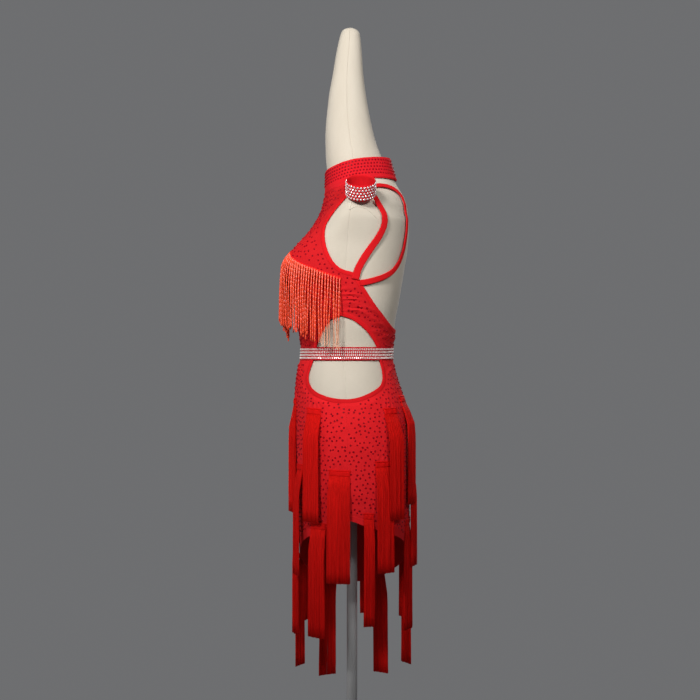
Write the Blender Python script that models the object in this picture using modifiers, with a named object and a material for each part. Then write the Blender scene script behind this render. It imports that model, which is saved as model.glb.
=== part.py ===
"""A salsa dance dress, stretched over a limbless dress form on a round stand.

The figure is a table of level sections.  Every piece of cloth is a thin wall
laid on that figure, trimmed by outlines seen from the side, and the tassels
and the bust fringe are combs of locks that hang from a narrow strip.

Frame: +Z up, the front of the dress faces -Y, the wearer's left side is +X,
and the origin is on the floor under the middle of the stand.
"""
import math
from collections import namedtuple

import bmesh
import bpy
from mathutils import Matrix, Vector

MM = 0.001                # the sizes below are in millimetres, and Blender's unit is the metre
MERGE = 0.00001           # metres within which two corners are one
PLUMB_STEPS = 12          # levels tried for the widest place that a lock hangs from
FINE_STEPS = 400          # steps that lengths along the figure are measured in

# --- the figure -------------------------------------------------------------
# One row for each level section: its height, how far it reaches to the front
# and back, its half width, the depth of its widest line, and how square it is
# (2 is an ellipse, and less than 2 draws its sides in to a ridge).
Section = namedtuple("Section", "height front back half_width middle fullness")
FIGURE = [
    Section(500, -105, 103, 142, 0, 2.2),
    Section(560, -108, 109, 149, 0, 2.2),
    Section(640, -110.5, 115.5, 158, 2, 2.2),
    Section(700, -112.5, 119, 163, 3, 2.2),
    Section(765, -116, 120.5, 166, 3, 2.2),
    Section(836, -118.5, 120.5, 166, 2, 2.2),
    Section(889, -119.5, 119.5, 161, 0, 2.2),
    Section(916, -119.5, 115.5, 156, -2, 2.2),
    Section(950, -119, 105, 147, -6, 2.2),
    Section(977, -117, 96, 138, -9, 2.2),
    Section(1000, -113.5, 89.5, 129, -11, 2.2),
    Section(1015, -109.5, 86.5, 124, -12, 2.2),
    Section(1030, -107, 85.5, 121, -12, 2.2),
    Section(1048, -107.5, 87, 121.5, -12, 2.2),
    Section(1064, -109.3, 89, 123.3, -12, 2.2),
    Section(1080, -112, 91.5, 126, -11, 2.2),
    Section(1100, -116, 94, 129, -10, 2.2),
    Section(1130, -116, 100, 134, -9, 2.2),
    Section(1164, -115, 106, 138, -8, 2.2),
    Section(1206, -112, 113, 142, -6, 2.2),
    Section(1252, -101, 119.8, 148, -4, 2.2),
    Section(1290, -82, 122, 158, -3, 2.1),
    Section(1307, -74, 121.5, 162, -2, 2.0),
    Section(1320, -68, 120.5, 163, -2, 1.8),
    Section(1335, -63, 119.3, 161, 0, 1.65),
    Section(1350, -60, 115.5, 144, 2, 1.6),
    Section(1362, -57, 111, 122, 4, 1.6),
    Section(1374, -56, 103.5, 97, 6, 1.7),
    Section(1385, -56, 97, 76, 9, 1.8),
    Section(1395, -55.5, 92, 68, 10, 1.9),
    Section(1410, -55.5, 83, 62, 8, 2.0),
    Section(1441, -58, 66.5, 56, 4, 2.0),
    Section(1483, -59, 51, 50, -3, 2.0),
    Section(1564, -52.5, 34, 39, -9, 2.0),
    Section(1612, -44.5, 27.5, 33, -9, 2.0),
    Section(1700, -27.5, 20, 22.5, -4, 2.0),
    Section(1712, -21, 13, 16, -4, 2.0),
    Section(1716, -12, 4, 8, -4, 2.0),
]

# the bust cups, swellings added to the front half of the figure
CUP_CENTRE = 70           # from the middle of the front
CUP_HEIGHT = 1216
CUP_RISE = 35
CUP_HALF_WIDTH = 42
CUP_REACH_UP = 38
CUP_REACH_DOWN = 50

# --- the stand --------------------------------------------------------------
FORM_CLEARANCE = 3.2      # from the seam line of the cloth in to the form
FORM_SIDES = 36
FORM_BOTTOM = 750
POLE_RADIUS = 11
FLANGE_RADIUS = 38
FLANGE_THICKNESS = 6
BASE_RADIUS = 210
BASE_THICKNESS = 9
BASE_BEVEL = 3
SEAT_GAP = 0.3            # between two pieces that touch

# --- the cloth --------------------------------------------------------------
CLOTH = 1.6               # thickness of the dress cloth
SEAM = 0.3                # gap between two pieces sewn edge to edge
SIDE_SEAM = 86            # degrees round from the middle of the front
BELT_BOTTOM = 1017
BELT_TOP = 1044
BELT_RISE = 1.0           # how far the belt stands proud of the cloth
COLLAR_RISE = 0.8
COLLAR_STAND_OFF = 12     # how far its upper edge stands off the nape
BACK_BAND_TOP = 1206      # level that the bodice back is cut from
CUTTER_REACH = 400        # half length of a cutter, across the dress

# the hem and the collar, by the angle round the figure
Hem = namedtuple("Hem", "angle height")
HEM = [
    Hem(-180, 604), Hem(-143, 565), Hem(-120, 542), Hem(-92, 530), Hem(-60, 543), Hem(-42, 558),
    Hem(-25, 575), Hem(0, 612), Hem(25, 646), Hem(45, 665), Hem(65, 684), Hem(82, 699),
    Hem(100, 686), Hem(120, 672), Hem(140, 659), Hem(160, 640), Hem(180, 604),
]
Band = namedtuple("Band", "angle lower upper")
COLLAR = [
    Band(0, 1361, 1411), Band(15, 1363, 1413), Band(48, 1371, 1420.5), Band(70, 1380, 1427),
    Band(91, 1387, 1432), Band(115, 1393, 1435), Band(136, 1394, 1436), Band(180, 1392, 1435),
]

# the outlines cut through the dress from side to side: depth, from the front
# (minus) to the back, and height
Corner = namedtuple("Corner", "depth height")
SIDE_CUT_OUT = [
    Corner(-22, 1107), Corner(-45, 1098), Corner(-61, 1074.5), Corner(-73.5, 1044), Corner(-80, 1017),
    Corner(-87, 997), Corner(-90, 981), Corner(-86.5, 967), Corner(-77, 956), Corner(-60.5, 947.5),
    Corner(-40, 941.7), Corner(-14, 939.3), Corner(10, 942), Corner(32, 949.6), Corner(50, 959.5),
    Corner(59.6, 969), Corner(63, 981), Corner(62, 997), Corner(57, 1017), Corner(51, 1044),
    Corner(36, 1068.5), Corner(20, 1085.5), Corner(0, 1099.5),
]
ARMHOLE = [
    Corner(14, 1400), Corner(12, 1386), Corner(6, 1373), Corner(0, 1361), Corner(-9.5, 1348.5),
    Corner(-21.5, 1334.5), Corner(-37, 1317), Corner(-48.5, 1300), Corner(-54.5, 1288),
    Corner(-56.5, 1274), Corner(-55.5, 1259), Corner(-52, 1244), Corner(-46, 1229),
    Corner(-37, 1214), Corner(-25, 1203), Corner(-12, 1197.5),
]
UNDERARM = [Corner(0, 1194.5), Corner(8, 1189.5), Corner(16, 1177)]
OPEN_BACK = [
    Corner(30, 1155), Corner(46, 1131), Corner(61, 1112), Corner(73.5, 1096.5), Corner(86, 1083),
    Corner(100, 1076),
]
BEHIND = [Corner(200, 1076), Corner(200, 1400)]

# --- straps and shoulder cuffs ----------------------------------------------
STRAP_THICKNESS = 1.5
STRAP_LIFT = 0.6          # from the seam line out to the underside of a strap
# the side strap's turns are given by their depth, as the outlines are
STRAP_END_LIFT = 6.5
STRAP_LEAD = 6            # steps of its route over which it leaves
STRAP_SIDE_WIDTH = 15
STRAP_SIDE = [
    Corner(7.3, 1184), Corner(9.5, 1193), Corner(14, 1205), Corner(23.5, 1222), Corner(36, 1241),
    Corner(50, 1261), Corner(61, 1281), Corner(65.5, 1300), Corner(63.5, 1311), Corner(57, 1324),
    Corner(49, 1334.5), Corner(42, 1341),
]
# and the back strap's by how far they lie across the back from its middle
Turn = namedtuple("Turn", "across height")
STRAP_BACK_WIDTH = 12
STRAP_BACK = [
    Turn(137, 1173), Turn(127, 1180), Turn(113, 1189), Turn(97, 1202), Turn(84, 1221),
    Turn(76, 1245), Turn(71, 1270), Turn(65, 1297), Turn(56, 1322), Turn(47, 1343),
    Turn(44, 1359), Turn(52, 1370), Turn(66, 1375), Turn(82, 1374), Turn(99, 1369),
    Turn(118.5, 1360),
]
CUFF_RADIUS = 29.5
CUFF_HEIGHT = 34
CUFF_WALL = 2
CUFF_TILT = 31            # degrees that its axis leans out from upright
CUFF_TOP = Vector((162.5, 17.5, 1376.9))
CUFF_SIDES = 32

# --- fringe and tassels -----------------------------------------------------
# the line of the bust fringe, by the angle round the figure
Line = namedtuple("Line", "angle height")
FRINGE_LINE = [
    Line(2, 1206), Line(9, 1226), Line(17, 1241), Line(25, 1242), Line(35, 1229),
    Line(49, 1214), Line(58.5, 1206), Line(66, 1200), Line(74, 1193), Line(84.6, 1184),
]
FRINGE_STRANDS = 33
FRINGE_STRIP = 6          # height of the strip that the strands hang from
FRINGE_THICKNESS = 1.8
FRINGE_LIFT = 0.5         # from the seam line out to the back of the strip
FRINGE_LENGTH = 144
FRINGE_BULGE = 9         # how far the strands stand out from the bust
FRINGE_DROPS = (20, 70)   # levels below the strip where a strand bends
FRINGE_SPRING = 40        # fall over which they swing out
FRINGE_UNEVEN = 0.045     # share that a strand is longer or shorter
FRINGE_RIPPLE = 37        # how fast that changes from strand to strand
STRAND_SHARE = 0.62       # the strand's share of the pitch, and the rest is gap

TASSEL_LOCKS = 5
TASSEL_HEAD = 13
TASSEL_THICKNESS = 2.6
TASSEL_LIFT = 0.5         # from the seam line out to the back of its head
LOCK_SHARE = 0.78
TASSEL_BEND = 60          # level below the head where a lock bends
TASSEL_SPREAD = 0.06      # how much wider it is at its end, as a share
TASSEL_UNEVEN = 0.012     # share that a lock is longer or shorter
TASSEL_RIPPLE = 9         # how fast that changes from lock to lock

# The tassels hang in four tiers, each clear of the heads of the tier below it.
# A row gives the angle of a tassel's middle, the level of its top, its length
# with the head, and its width.  A few hang closer in than their tier or are
# twisted, by so many degrees, so that the edge at the greater angle swings in.
Tier = namedtuple("Tier", "stand_off tassels")
Tassel = namedtuple("Tassel", "angle top length width closer twist", defaults=(0, 0))
TIERS = [
    # below the side cut-outs
    Tier(11.5, [
        Tassel(10, 938, 236, 39, 6, 14), Tassel(52, 921, 228, 39), Tassel(130, 921, 224, 37),
        Tassel(160, 944, 222, 39, 2.5, -8), Tassel(-30, 934, 232, 39), Tassel(-72, 923, 229, 39),
        Tassel(-122, 921, 226, 39), Tassel(-154, 938, 228, 39),
    ]),
    # half way down the hip
    Tier(8.2, [
        Tassel(26, 805, 226, 37), Tassel(78, 799, 226, 42), Tassel(118, 816, 224, 37),
        Tassel(171, 812, 222, 39, 0, -8), Tassel(-50, 803, 230, 39), Tassel(-104, 798, 226, 39),
        Tassel(-136, 810, 228, 39),
    ]),
    # along the short hem of the left side, and carried round above the long one
    Tier(6, [
        Tassel(6, 674, 228, 39, 0, 17), Tassel(54, 690, 230, 42), Tassel(103, 713, 226, 20),
        Tassel(163, 690, 228, 39, 4.5, -16), Tassel(179.5, 690, 228, 37, 1), Tassel(-38, 684, 230, 39),
        Tassel(-105, 688, 231, 39), Tassel(-150, 692, 230, 39),
    ]),
    # along the long hem of the right side
    Tier(9, [
        Tassel(-13, 610, 242, 36, 6, -20), Tassel(-65.5, 560, 234, 36), Tassel(-119, 566, 234, 34),
        Tassel(-165, 612, 240, 36, 4, 20),
    ]),
]

# --- colours: red, green, blue; roughness; metallic --------------------------
Finish = namedtuple("Finish", "colour roughness metallic")
FINISHES = {
    "stretch_cloth": Finish((0.68, 0.02, 0.04), 0.6, 0.0),
    "trim": Finish((0.50, 0.02, 0.04), 0.5, 0.0),
    "crystal_band": Finish((0.75, 0.45, 0.45), 0.3, 0.0),
    "beaded_fringe": Finish((0.80, 0.13, 0.07), 0.4, 0.0),
    "tassel_yarn": Finish((0.66, 0.02, 0.05), 0.7, 0.0),
    "form_cover": Finish((0.82, 0.76, 0.66), 0.85, 0.0),
    "painted_metal": Finish((0.48, 0.48, 0.48), 0.4, 0.0),
}


def curve_through(rows, column):
    """A smooth height-by-height reading of one column of a table, without overshoot."""
    xs = [row[0] for row in rows]
    ys = [getattr(row, column) for row in rows]
    steps = [b - a for a, b in zip(xs, xs[1:])]
    slopes = [(d - c) / step for c, d, step in zip(ys, ys[1:], steps)]
    tangents = [slopes[0]]
    for before, after in zip(slopes, slopes[1:]):
        level = before * after <= 0
        tangents.append(0.0 if level else 2 * before * after / (before + after))
    tangents.append(slopes[-1])

    def read(x):
        x = min(max(x, xs[0]), xs[-1])
        i = next(i for i, step in enumerate(steps) if x <= xs[i + 1] or i == len(steps) - 1)
        t = (x - xs[i]) / steps[i]
        start = (1 + 2 * t) * (1 - t) ** 2 * ys[i] + t * (1 - t) ** 2 * steps[i] * tangents[i]
        end = t * t * (3 - 2 * t) * ys[i + 1] + t * t * (t - 1) * steps[i] * tangents[i + 1]
        return start + end

    return read


FRONT, BACK, HALF_WIDTH, MIDDLE, FULLNESS = (
    curve_through(FIGURE, column) for column in Section._fields[1:]
)
hem_height = curve_through(HEM, "height")
collar_lower = curve_through(COLLAR, "lower")
collar_upper = curve_through(COLLAR, "upper")
fringe_height = curve_through(FRINGE_LINE, "height")


def seam_line_point(angle, height):
    """The figure's surface: angle 0 is the middle of the front, and +90 the left side."""
    across, ahead = math.sin(math.radians(angle)), math.cos(math.radians(angle))
    power = 2 / FULLNESS(height)
    middle = MIDDLE(height)
    x = HALF_WIDTH(height) * math.copysign(abs(across) ** power, across)
    reach = middle - FRONT(height) if ahead > 0 else BACK(height) - middle
    y = middle - reach * math.copysign(abs(ahead) ** power, ahead)
    if ahead > 0:
        rise = height - CUP_HEIGHT
        spread = CUP_REACH_UP if rise > 0 else CUP_REACH_DOWN
        sideways = (abs(x) - CUP_CENTRE) / CUP_HALF_WIDTH
        swell = CUP_RISE * math.exp(-sideways ** 2 / 2 - (rise / spread) ** 2 / 2)
        y -= swell * min(1, 3 * ahead)
    return Vector((x, y, height))


def figure_point(angle, height, out=0.0):
    """A point on the figure, moved out along the surface's normal; all in millimetres."""
    point = seam_line_point(angle, height)
    if out == 0:
        return point
    round_the_figure = seam_line_point(angle + 1, height) - seam_line_point(angle - 1, height)
    up_the_figure = seam_line_point(angle, height + 2) - seam_line_point(angle, height - 2)
    return point + out * round_the_figure.cross(up_the_figure).normalized()


def new_collection(name):
    collection = bpy.data.collections.new(name)
    bpy.context.scene.collection.children.link(collection)
    return collection


def new_material(name, finish):
    material = bpy.data.materials.new(name)
    material.use_nodes = True
    shader = material.node_tree.nodes["Principled BSDF"]
    shader.inputs["Base Color"].default_value = (*finish.colour, 1)
    shader.inputs["Roughness"].default_value = finish.roughness
    shader.inputs["Metallic"].default_value = finish.metallic
    material.diffuse_color = (*finish.colour, 1)
    return material


def add_piece(name, shape, finish, collection):
    """Turn a bmesh in millimetres into a named object with its own material."""
    bmesh.ops.scale(shape, vec=(MM, MM, MM), verts=shape.verts)
    bmesh.ops.remove_doubles(shape, verts=shape.verts, dist=MERGE)
    mesh = bpy.data.meshes.new(name)
    shape.to_mesh(mesh)
    shape.free()
    mesh.shade_smooth()
    mesh.materials.append(new_material(name, FINISHES[finish]))
    piece = bpy.data.objects.new(name, mesh)
    collection.objects.link(piece)
    return piece


def wrapped_grid(columns, rows, place):
    """An open grid whose corner at (u, v), each from 0 to 1, goes to place(u, v)."""
    shape = bmesh.new()
    bmesh.ops.create_grid(shape, x_segments=columns, y_segments=rows, size=0.5)
    for vert in shape.verts:
        vert.co = place(vert.co.x + 0.5, vert.co.y + 0.5)
    return shape


def give_thickness(piece, thickness):
    """Cloth grows in from its outer face, so that what is outside it stays clear."""
    wall = piece.modifiers.new("thickness", "SOLIDIFY")
    wall.thickness = thickness * MM
    wall.offset = -1


def cut_away(piece, cutter):
    cut = piece.modifiers.new("cut " + cutter.name, "BOOLEAN")
    cut.operation = "DIFFERENCE"
    cut.object = cutter


def between(start, end, share):
    return start + (end - start) * share


def smooth_route(points, steps):
    """Points along a curve through the given ones, with the same number in each stretch."""
    points = [Vector(point) for point in points]
    route = []
    for i in range(len(points) - 1):
        before, start = points[max(i - 1, 0)], points[i]
        end, after = points[i + 1], points[min(i + 2, len(points) - 1)]
        for step in range(steps):
            t = step / steps
            leaving, arriving = (end - before) / 2, (after - start) / 2
            route.append(
                (1 + 2 * t) * (1 - t) ** 2 * start + t * (1 - t) ** 2 * leaving
                + t * t * (3 - 2 * t) * end + t * t * (t - 1) * arriving
            )
    route.append(points[-1])
    return route


def add_cutter(name, outline, collection):
    """A flat outline seen from the side, extruded right across the dress."""
    curve = bpy.data.curves.new(name, "CURVE")
    curve.dimensions = "2D"
    curve.fill_mode = "BOTH"
    curve.extrude = CUTTER_REACH * MM
    spline = curve.splines.new("POLY")
    spline.points.add(len(outline) - 1)
    for point, corner in zip(spline.points, outline):
        point.co = (corner[0] * MM, corner[1] * MM, 0, 1)
    spline.use_cyclic_u = True
    drawn = bpy.data.objects.new(name, curve)
    bpy.context.scene.collection.objects.link(drawn)
    depsgraph = bpy.context.evaluated_depsgraph_get()
    mesh = bpy.data.meshes.new_from_object(drawn.evaluated_get(depsgraph))
    bpy.data.objects.remove(drawn)
    welded = bmesh.new()
    welded.from_mesh(mesh)
    bmesh.ops.remove_doubles(welded, verts=welded.verts, dist=MERGE)
    # the outline's own x and y become the dress's depth and height
    bmesh.ops.transform(welded, matrix=Matrix(((0, 0, 1), (1, 0, 0), (0, 1, 0))).to_4x4(),
                        verts=welded.verts)
    bmesh.ops.recalc_face_normals(welded, faces=welded.faces)
    welded.to_mesh(mesh)
    welded.free()
    cutter = bpy.data.objects.new(name, mesh)
    cutter.hide_render = True
    cutter.display_type = "WIRE"
    collection.objects.link(cutter)
    return cutter


# --- the dress form and its stand -------------------------------------------
def build_form(collection):
    levels = [FORM_BOTTOM] + [row.height for row in FIGURE if row.height > FORM_BOTTOM]

    def place(u, v):
        return figure_point(360 * u, levels[round(v * (len(levels) - 1))], -FORM_CLEARANCE)

    shape = wrapped_grid(FORM_SIDES, len(levels) - 1, place)
    bmesh.ops.remove_doubles(shape, verts=shape.verts, dist=MERGE / MM)
    bmesh.ops.holes_fill(shape, edges=shape.edges)
    bmesh.ops.recalc_face_normals(shape, faces=shape.faces)
    add_piece("form_body", shape, "form_cover", collection)


def build_stand(collection):
    pole_bottom = BASE_THICKNESS + SEAT_GAP
    flange_top = FORM_BOTTOM - SEAT_GAP
    pole_top = flange_top - FLANGE_THICKNESS - SEAT_GAP
    discs = [
        ("stand_base", BASE_RADIUS, 0, BASE_THICKNESS, 48),
        ("stand_pole", POLE_RADIUS, pole_bottom, pole_top, 20),
        ("stand_flange", FLANGE_RADIUS, flange_top - FLANGE_THICKNESS, flange_top, 28),
    ]
    for name, radius, bottom, top, sides in discs:
        shape = bmesh.new()
        bmesh.ops.create_cone(shape, cap_ends=True, segments=sides, radius1=radius, radius2=radius,
                              depth=top - bottom,
                              matrix=Matrix.Translation((0, 0, (top + bottom) / 2)))
        disc = add_piece(name, shape, "painted_metal", collection)
        disc.data.set_sharp_from_angle(angle=math.radians(40))
        if name == "stand_base":
            edge = disc.modifiers.new("rounded rim", "BEVEL")
            edge.width = BASE_BEVEL * MM
            edge.segments = 1


# --- the fitted cloth --------------------------------------------------------
def build_bodice(collection, cutters):
    top_seam = SEAM + BELT_TOP

    def place_front(u, v):
        angle = between(-SIDE_SEAM, SIDE_SEAM, u)
        return figure_point(angle, between(top_seam, collar_lower(abs(angle)) - SEAM, v))

    def place_back(u, v):
        seam_angle = 2 * SEAM / HALF_WIDTH(BACK_BAND_TOP) * math.degrees(1)
        start = SIDE_SEAM + seam_angle
        return figure_point(between(start, 360 - start, u), between(top_seam, BACK_BAND_TOP, v))

    for name, columns, rows, place in (
        ("bodice_front", 24, 15, place_front),
        ("bodice_back", 24, 7, place_back),
    ):
        piece = add_piece(name, wrapped_grid(columns, rows, place), "stretch_cloth", collection)
        give_thickness(piece, CLOTH)
        for cutter in cutters:
            cut_away(piece, cutter)


def build_skirt(collection, cutter):
    seam_angle = 2 * SEAM / HALF_WIDTH(BELT_BOTTOM) * math.degrees(1)
    back_start = SIDE_SEAM + seam_angle
    for name, start, end in (
        ("skirt_front", -SIDE_SEAM, SIDE_SEAM),
        ("skirt_back", back_start, 360 - back_start),
    ):
        def place(u, v, start=start, end=end):
            angle = between(start, end, u)
            hem = hem_height(angle if angle <= 180 else angle - 360)
            return figure_point(angle, between(hem, BELT_BOTTOM - SEAM, v))

        piece = add_piece(name, wrapped_grid(22, 12, place), "stretch_cloth", collection)
        give_thickness(piece, CLOTH)
        cut_away(piece, cutter)


def build_bands(collection):
    """The belt and the collar, each one closed ring."""
    def place_belt(u, v):
        return figure_point(360 * u, between(BELT_BOTTOM, BELT_TOP, v), BELT_RISE)

    def place_collar(u, v):
        turn = abs(360 * u - 180)
        height = between(collar_lower(180 - turn), collar_upper(180 - turn), v)
        towards_nape = (1 - turn / 180) ** 2
        return figure_point(360 * u, height, COLLAR_RISE + COLLAR_STAND_OFF * towards_nape * v)

    for name, finish, place, rows, rise in (
        ("belt", "crystal_band", place_belt, 1, BELT_RISE),
        ("collar", "trim", place_collar, 2, COLLAR_RISE),
    ):
        band = add_piece(name, wrapped_grid(FORM_SIDES, rows, place), finish, collection)
        give_thickness(band, CLOTH + rise)


# --- straps and shoulder cuffs -----------------------------------------------
def side_angle(depth, height):
    """The angle at which the figure's left side has this depth."""
    middle = MIDDLE(height)
    reach = middle - FRONT(height) if depth < middle else BACK(height) - middle
    turn = math.degrees(math.acos((abs(depth - middle) / reach) ** (FULLNESS(height) / 2)))
    return turn if depth < middle else 180 - turn


def back_angle(across, height):
    """The angle at which the figure's back lies this far from its middle."""
    share = (across / HALF_WIDTH(height)) ** (FULLNESS(height) / 2)
    return 180 - math.degrees(math.asin(share))


def build_straps(collection):
    def ribbon(name, turns, find_angle, width, side, end_lift):
        """A flat band that follows its turns over the figure, on one side of it."""
        route = [(find_angle(point.x, point.y) * side, point.y)
                 for point in smooth_route([(*turn, 0) for turn in turns], 3)]
        skin = [figure_point(angle, height) for angle, height in route]
        left = [max(0, step + 1 + STRAP_LEAD - len(route)) / STRAP_LEAD
                for step in range(len(route))]
        outer = [figure_point(*turn, STRAP_LIFT + STRAP_THICKNESS + end_lift * rise ** 2)
                 for turn, rise in zip(route, left)]

        def place(u, v):
            step = round(u * (len(route) - 1))
            ahead = outer[min(step + 1, len(route) - 1)] - outer[max(step - 1, 0)]
            aside = (outer[step] - skin[step]).cross(ahead).normalized()
            return outer[step] + aside * width * (v - 0.5)

        shape = wrapped_grid(len(route) - 1, 1, place)
        band = add_piece(name, shape, "stretch_cloth", collection)
        give_thickness(band, STRAP_THICKNESS)

    for side_name, side in (("left", 1), ("right", -1)):
        ribbon("strap_side_" + side_name, STRAP_SIDE, side_angle, STRAP_SIDE_WIDTH, side,
               STRAP_END_LIFT)
        ribbon("strap_back_" + side_name, STRAP_BACK, back_angle, STRAP_BACK_WIDTH, side, 0)


def build_cuffs(collection):
    for name, side in (("cuff_left", 1), ("cuff_right", -1)):
        shape = bmesh.new()
        lean = Matrix.Rotation(math.radians(CUFF_TILT * side), 4, "Y")
        top = Vector((CUFF_TOP.x * side, CUFF_TOP.y, CUFF_TOP.z))
        middle = Matrix.Translation(top) @ lean @ Matrix.Translation((0, 0, -CUFF_HEIGHT / 2))
        bmesh.ops.create_cone(shape, cap_ends=False, segments=CUFF_SIDES, radius1=CUFF_RADIUS,
                              radius2=CUFF_RADIUS, depth=CUFF_HEIGHT, matrix=middle)
        cuff = add_piece(name, shape, "crystal_band", collection)
        give_thickness(cuff, CUFF_WALL)


# --- fringe and tassels ------------------------------------------------------
def comb(locks, share, thickness, head, drops, place):
    """A strip with locks hanging from it, one closed body.

    Each corner goes to place(across, out, drop, hang): across the strip from 0
    to 1, out from its back, down from its top, and the share of the lock's own
    length that it hangs below the strip.
    """
    cells = 2 * locks - 1
    pitch = 1 / (locks - 1 + share)
    edges = [0.0]
    for cell in range(cells):
        edges.append(edges[-1] + pitch * (share if cell % 2 == 0 else 1 - share))
    shape = bmesh.new()
    bmesh.ops.create_grid(shape, x_segments=cells, y_segments=1, size=0.5)
    for vert in shape.verts:
        vert.co = (edges[round((vert.co.x + 0.5) * cells)], (vert.co.y + 0.5) * thickness, 0)
    strip = bmesh.ops.extrude_face_region(shape, geom=shape.faces[:])["geom"]
    lower = [part for part in strip if isinstance(part, bmesh.types.BMVert)]
    bmesh.ops.translate(shape, vec=(0, 0, -head), verts=lower)
    roots = [part for part in strip if isinstance(part, bmesh.types.BMFace)]
    roots.sort(key=lambda face: face.calc_center_median().x)
    hang = {}
    for root in roots[::2]:
        for drop in drops:
            root = bmesh.ops.extrude_discrete_faces(shape, faces=[root])["faces"][0]
            hang.update((vert, drop) for vert in root.verts)
    for vert in shape.verts:
        vert.co = place(vert.co.x, vert.co.y, -vert.co.z, hang.get(vert, 0.0))
    if shape.calc_volume(signed=True) < 0:
        bmesh.ops.reverse_faces(shape, faces=shape.faces)
    return shape


def hanging_point(angle, top, drop, out):
    """A point that hangs plumb from the widest place it has passed on its way down."""
    passed = [top - drop * step / PLUMB_STEPS for step in range(PLUMB_STEPS + 1)]
    widest = max((figure_point(angle, level, out) for level in passed), key=lambda p: p.xy.length)
    return Vector((widest.x, widest.y, top - drop))


def spaced_angles(first, last, steps):
    """Angles along the fringe line that lie the same distance apart on the bust."""
    angles = [between(first, last, step / FINE_STEPS) for step in range(FINE_STEPS + 1)]
    places = [figure_point(angle, fringe_height(angle)) for angle in angles]
    run = [0.0]
    for start, end in zip(places, places[1:]):
        run.append(run[-1] + (end - start).length)
    return [
        next(angle for angle, length in zip(angles, run) if length >= run[-1] * share - 1e-6)
        for share in steps
    ]


def build_bust_fringe(collection):
    first, last = FRINGE_LINE[0].angle, FRINGE_LINE[-1].angle
    ends = [drop / FRINGE_LENGTH for drop in FRINGE_DROPS] + [1.0]
    spaced = spaced_angles(first, last, [step / FINE_STEPS for step in range(FINE_STEPS + 1)])
    for name, side in (("fringe_left", 1), ("fringe_right", -1)):
        def place(across, out, drop, hang, side=side):
            angle = spaced[round(across * FINE_STEPS)]
            uneven = 1 + FRINGE_UNEVEN * math.sin(FRINGE_RIPPLE * across + side)
            fall = hang * FRINGE_LENGTH * uneven
            bulge = FRINGE_BULGE * (1 - math.exp(-fall / FRINGE_SPRING))
            reach = FRINGE_LIFT + out + bulge
            top = fringe_height(angle)
            if hang == 0:
                return figure_point(angle * side, top - drop, reach)
            return hanging_point(angle * side, top, drop + fall, reach)

        shape = comb(FRINGE_STRANDS, STRAND_SHARE, FRINGE_THICKNESS, FRINGE_STRIP, ends, place)
        add_piece(name, shape, "beaded_fringe", collection)


def build_tassels(collection):
    hung = [(tassel, tier.stand_off) for tier in TIERS for tassel in tier.tassels]
    for number, (tassel, stand_off) in enumerate(hung, start=1):
        angle, top = tassel.angle, tassel.top
        one_degree = (figure_point(angle + 1, top) - figure_point(angle, top)).length
        locks_length = tassel.length - TASSEL_HEAD

        def place(across, out, drop, hang):
            off_middle = (across - 0.5) * tassel.width * (1 + TASSEL_SPREAD * hang)
            twist = math.radians(tassel.twist if hang > 0 else 0)
            aside = off_middle * math.cos(twist) / one_degree
            uneven = 1 + TASSEL_UNEVEN * math.sin(TASSEL_RIPPLE * across + number)
            fall = drop + hang * locks_length * uneven
            reach = TASSEL_LIFT + out - off_middle * math.sin(twist)
            if hang > 0:
                reach += stand_off - tassel.closer
            return hanging_point(angle + aside, top, fall, reach)

        shape = comb(TASSEL_LOCKS, LOCK_SHARE, TASSEL_THICKNESS, TASSEL_HEAD,
                     (TASSEL_BEND / locks_length, 1.0), place)
        add_piece(f"tassel_{number:02}", shape, "tassel_yarn", collection)


def main():
    for item in list(bpy.data.objects):
        bpy.data.objects.remove(item)
    dress = new_collection("salsa_dress")
    tools = new_collection("cutters")
    tools.hide_render = True
    cut_out = add_cutter("side cut-out", smooth_route(
        [(*corner, 0) for corner in SIDE_CUT_OUT + SIDE_CUT_OUT[:1]], 2)[:-1], tools)
    edge = smooth_route([(*corner, 0) for corner in ARMHOLE + UNDERARM + OPEN_BACK], 2)
    opening = add_cutter("armholes and open back", [*edge, *BEHIND], tools)
    build_form(dress)
    build_stand(dress)
    build_bodice(dress, (cut_out, opening))
    build_skirt(dress, cut_out)
    build_bands(dress)
    build_straps(dress)
    build_cuffs(dress)
    build_bust_fringe(dress)
    build_tassels(dress)


main()
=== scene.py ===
"""The looks of a salsa dance dress on a limbless dress form with a round stand.

The dress is cut from thin sheets laid on one table of level sections.  Stones
are set on it in joined meshes, and fringe and tassels hang strand by strand.

Frame: +Z up, the front of the dress faces -Y, the wearer's left side is +X,
and the origin is on the floor under the middle of the stand.
"""
import math
from collections import namedtuple

import bmesh
import bpy
import numpy as np
from mathutils import Matrix, Vector


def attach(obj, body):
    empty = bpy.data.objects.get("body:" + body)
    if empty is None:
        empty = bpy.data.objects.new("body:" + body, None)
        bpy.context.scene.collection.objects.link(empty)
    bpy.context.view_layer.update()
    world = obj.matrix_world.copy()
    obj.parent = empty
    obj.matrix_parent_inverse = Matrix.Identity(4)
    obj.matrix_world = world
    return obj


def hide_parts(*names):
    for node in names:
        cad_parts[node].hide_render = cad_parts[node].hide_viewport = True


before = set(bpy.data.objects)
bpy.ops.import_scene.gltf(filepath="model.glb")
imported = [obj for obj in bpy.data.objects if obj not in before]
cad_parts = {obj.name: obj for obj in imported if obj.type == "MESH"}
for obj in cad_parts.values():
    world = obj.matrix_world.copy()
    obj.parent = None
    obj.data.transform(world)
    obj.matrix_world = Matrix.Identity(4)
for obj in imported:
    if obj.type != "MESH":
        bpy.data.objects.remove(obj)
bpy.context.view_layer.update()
bpy.ops.object.select_all(action="DESELECT")

MM = 0.001                # sizes are in millimetres, and the meshes in metres


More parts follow.
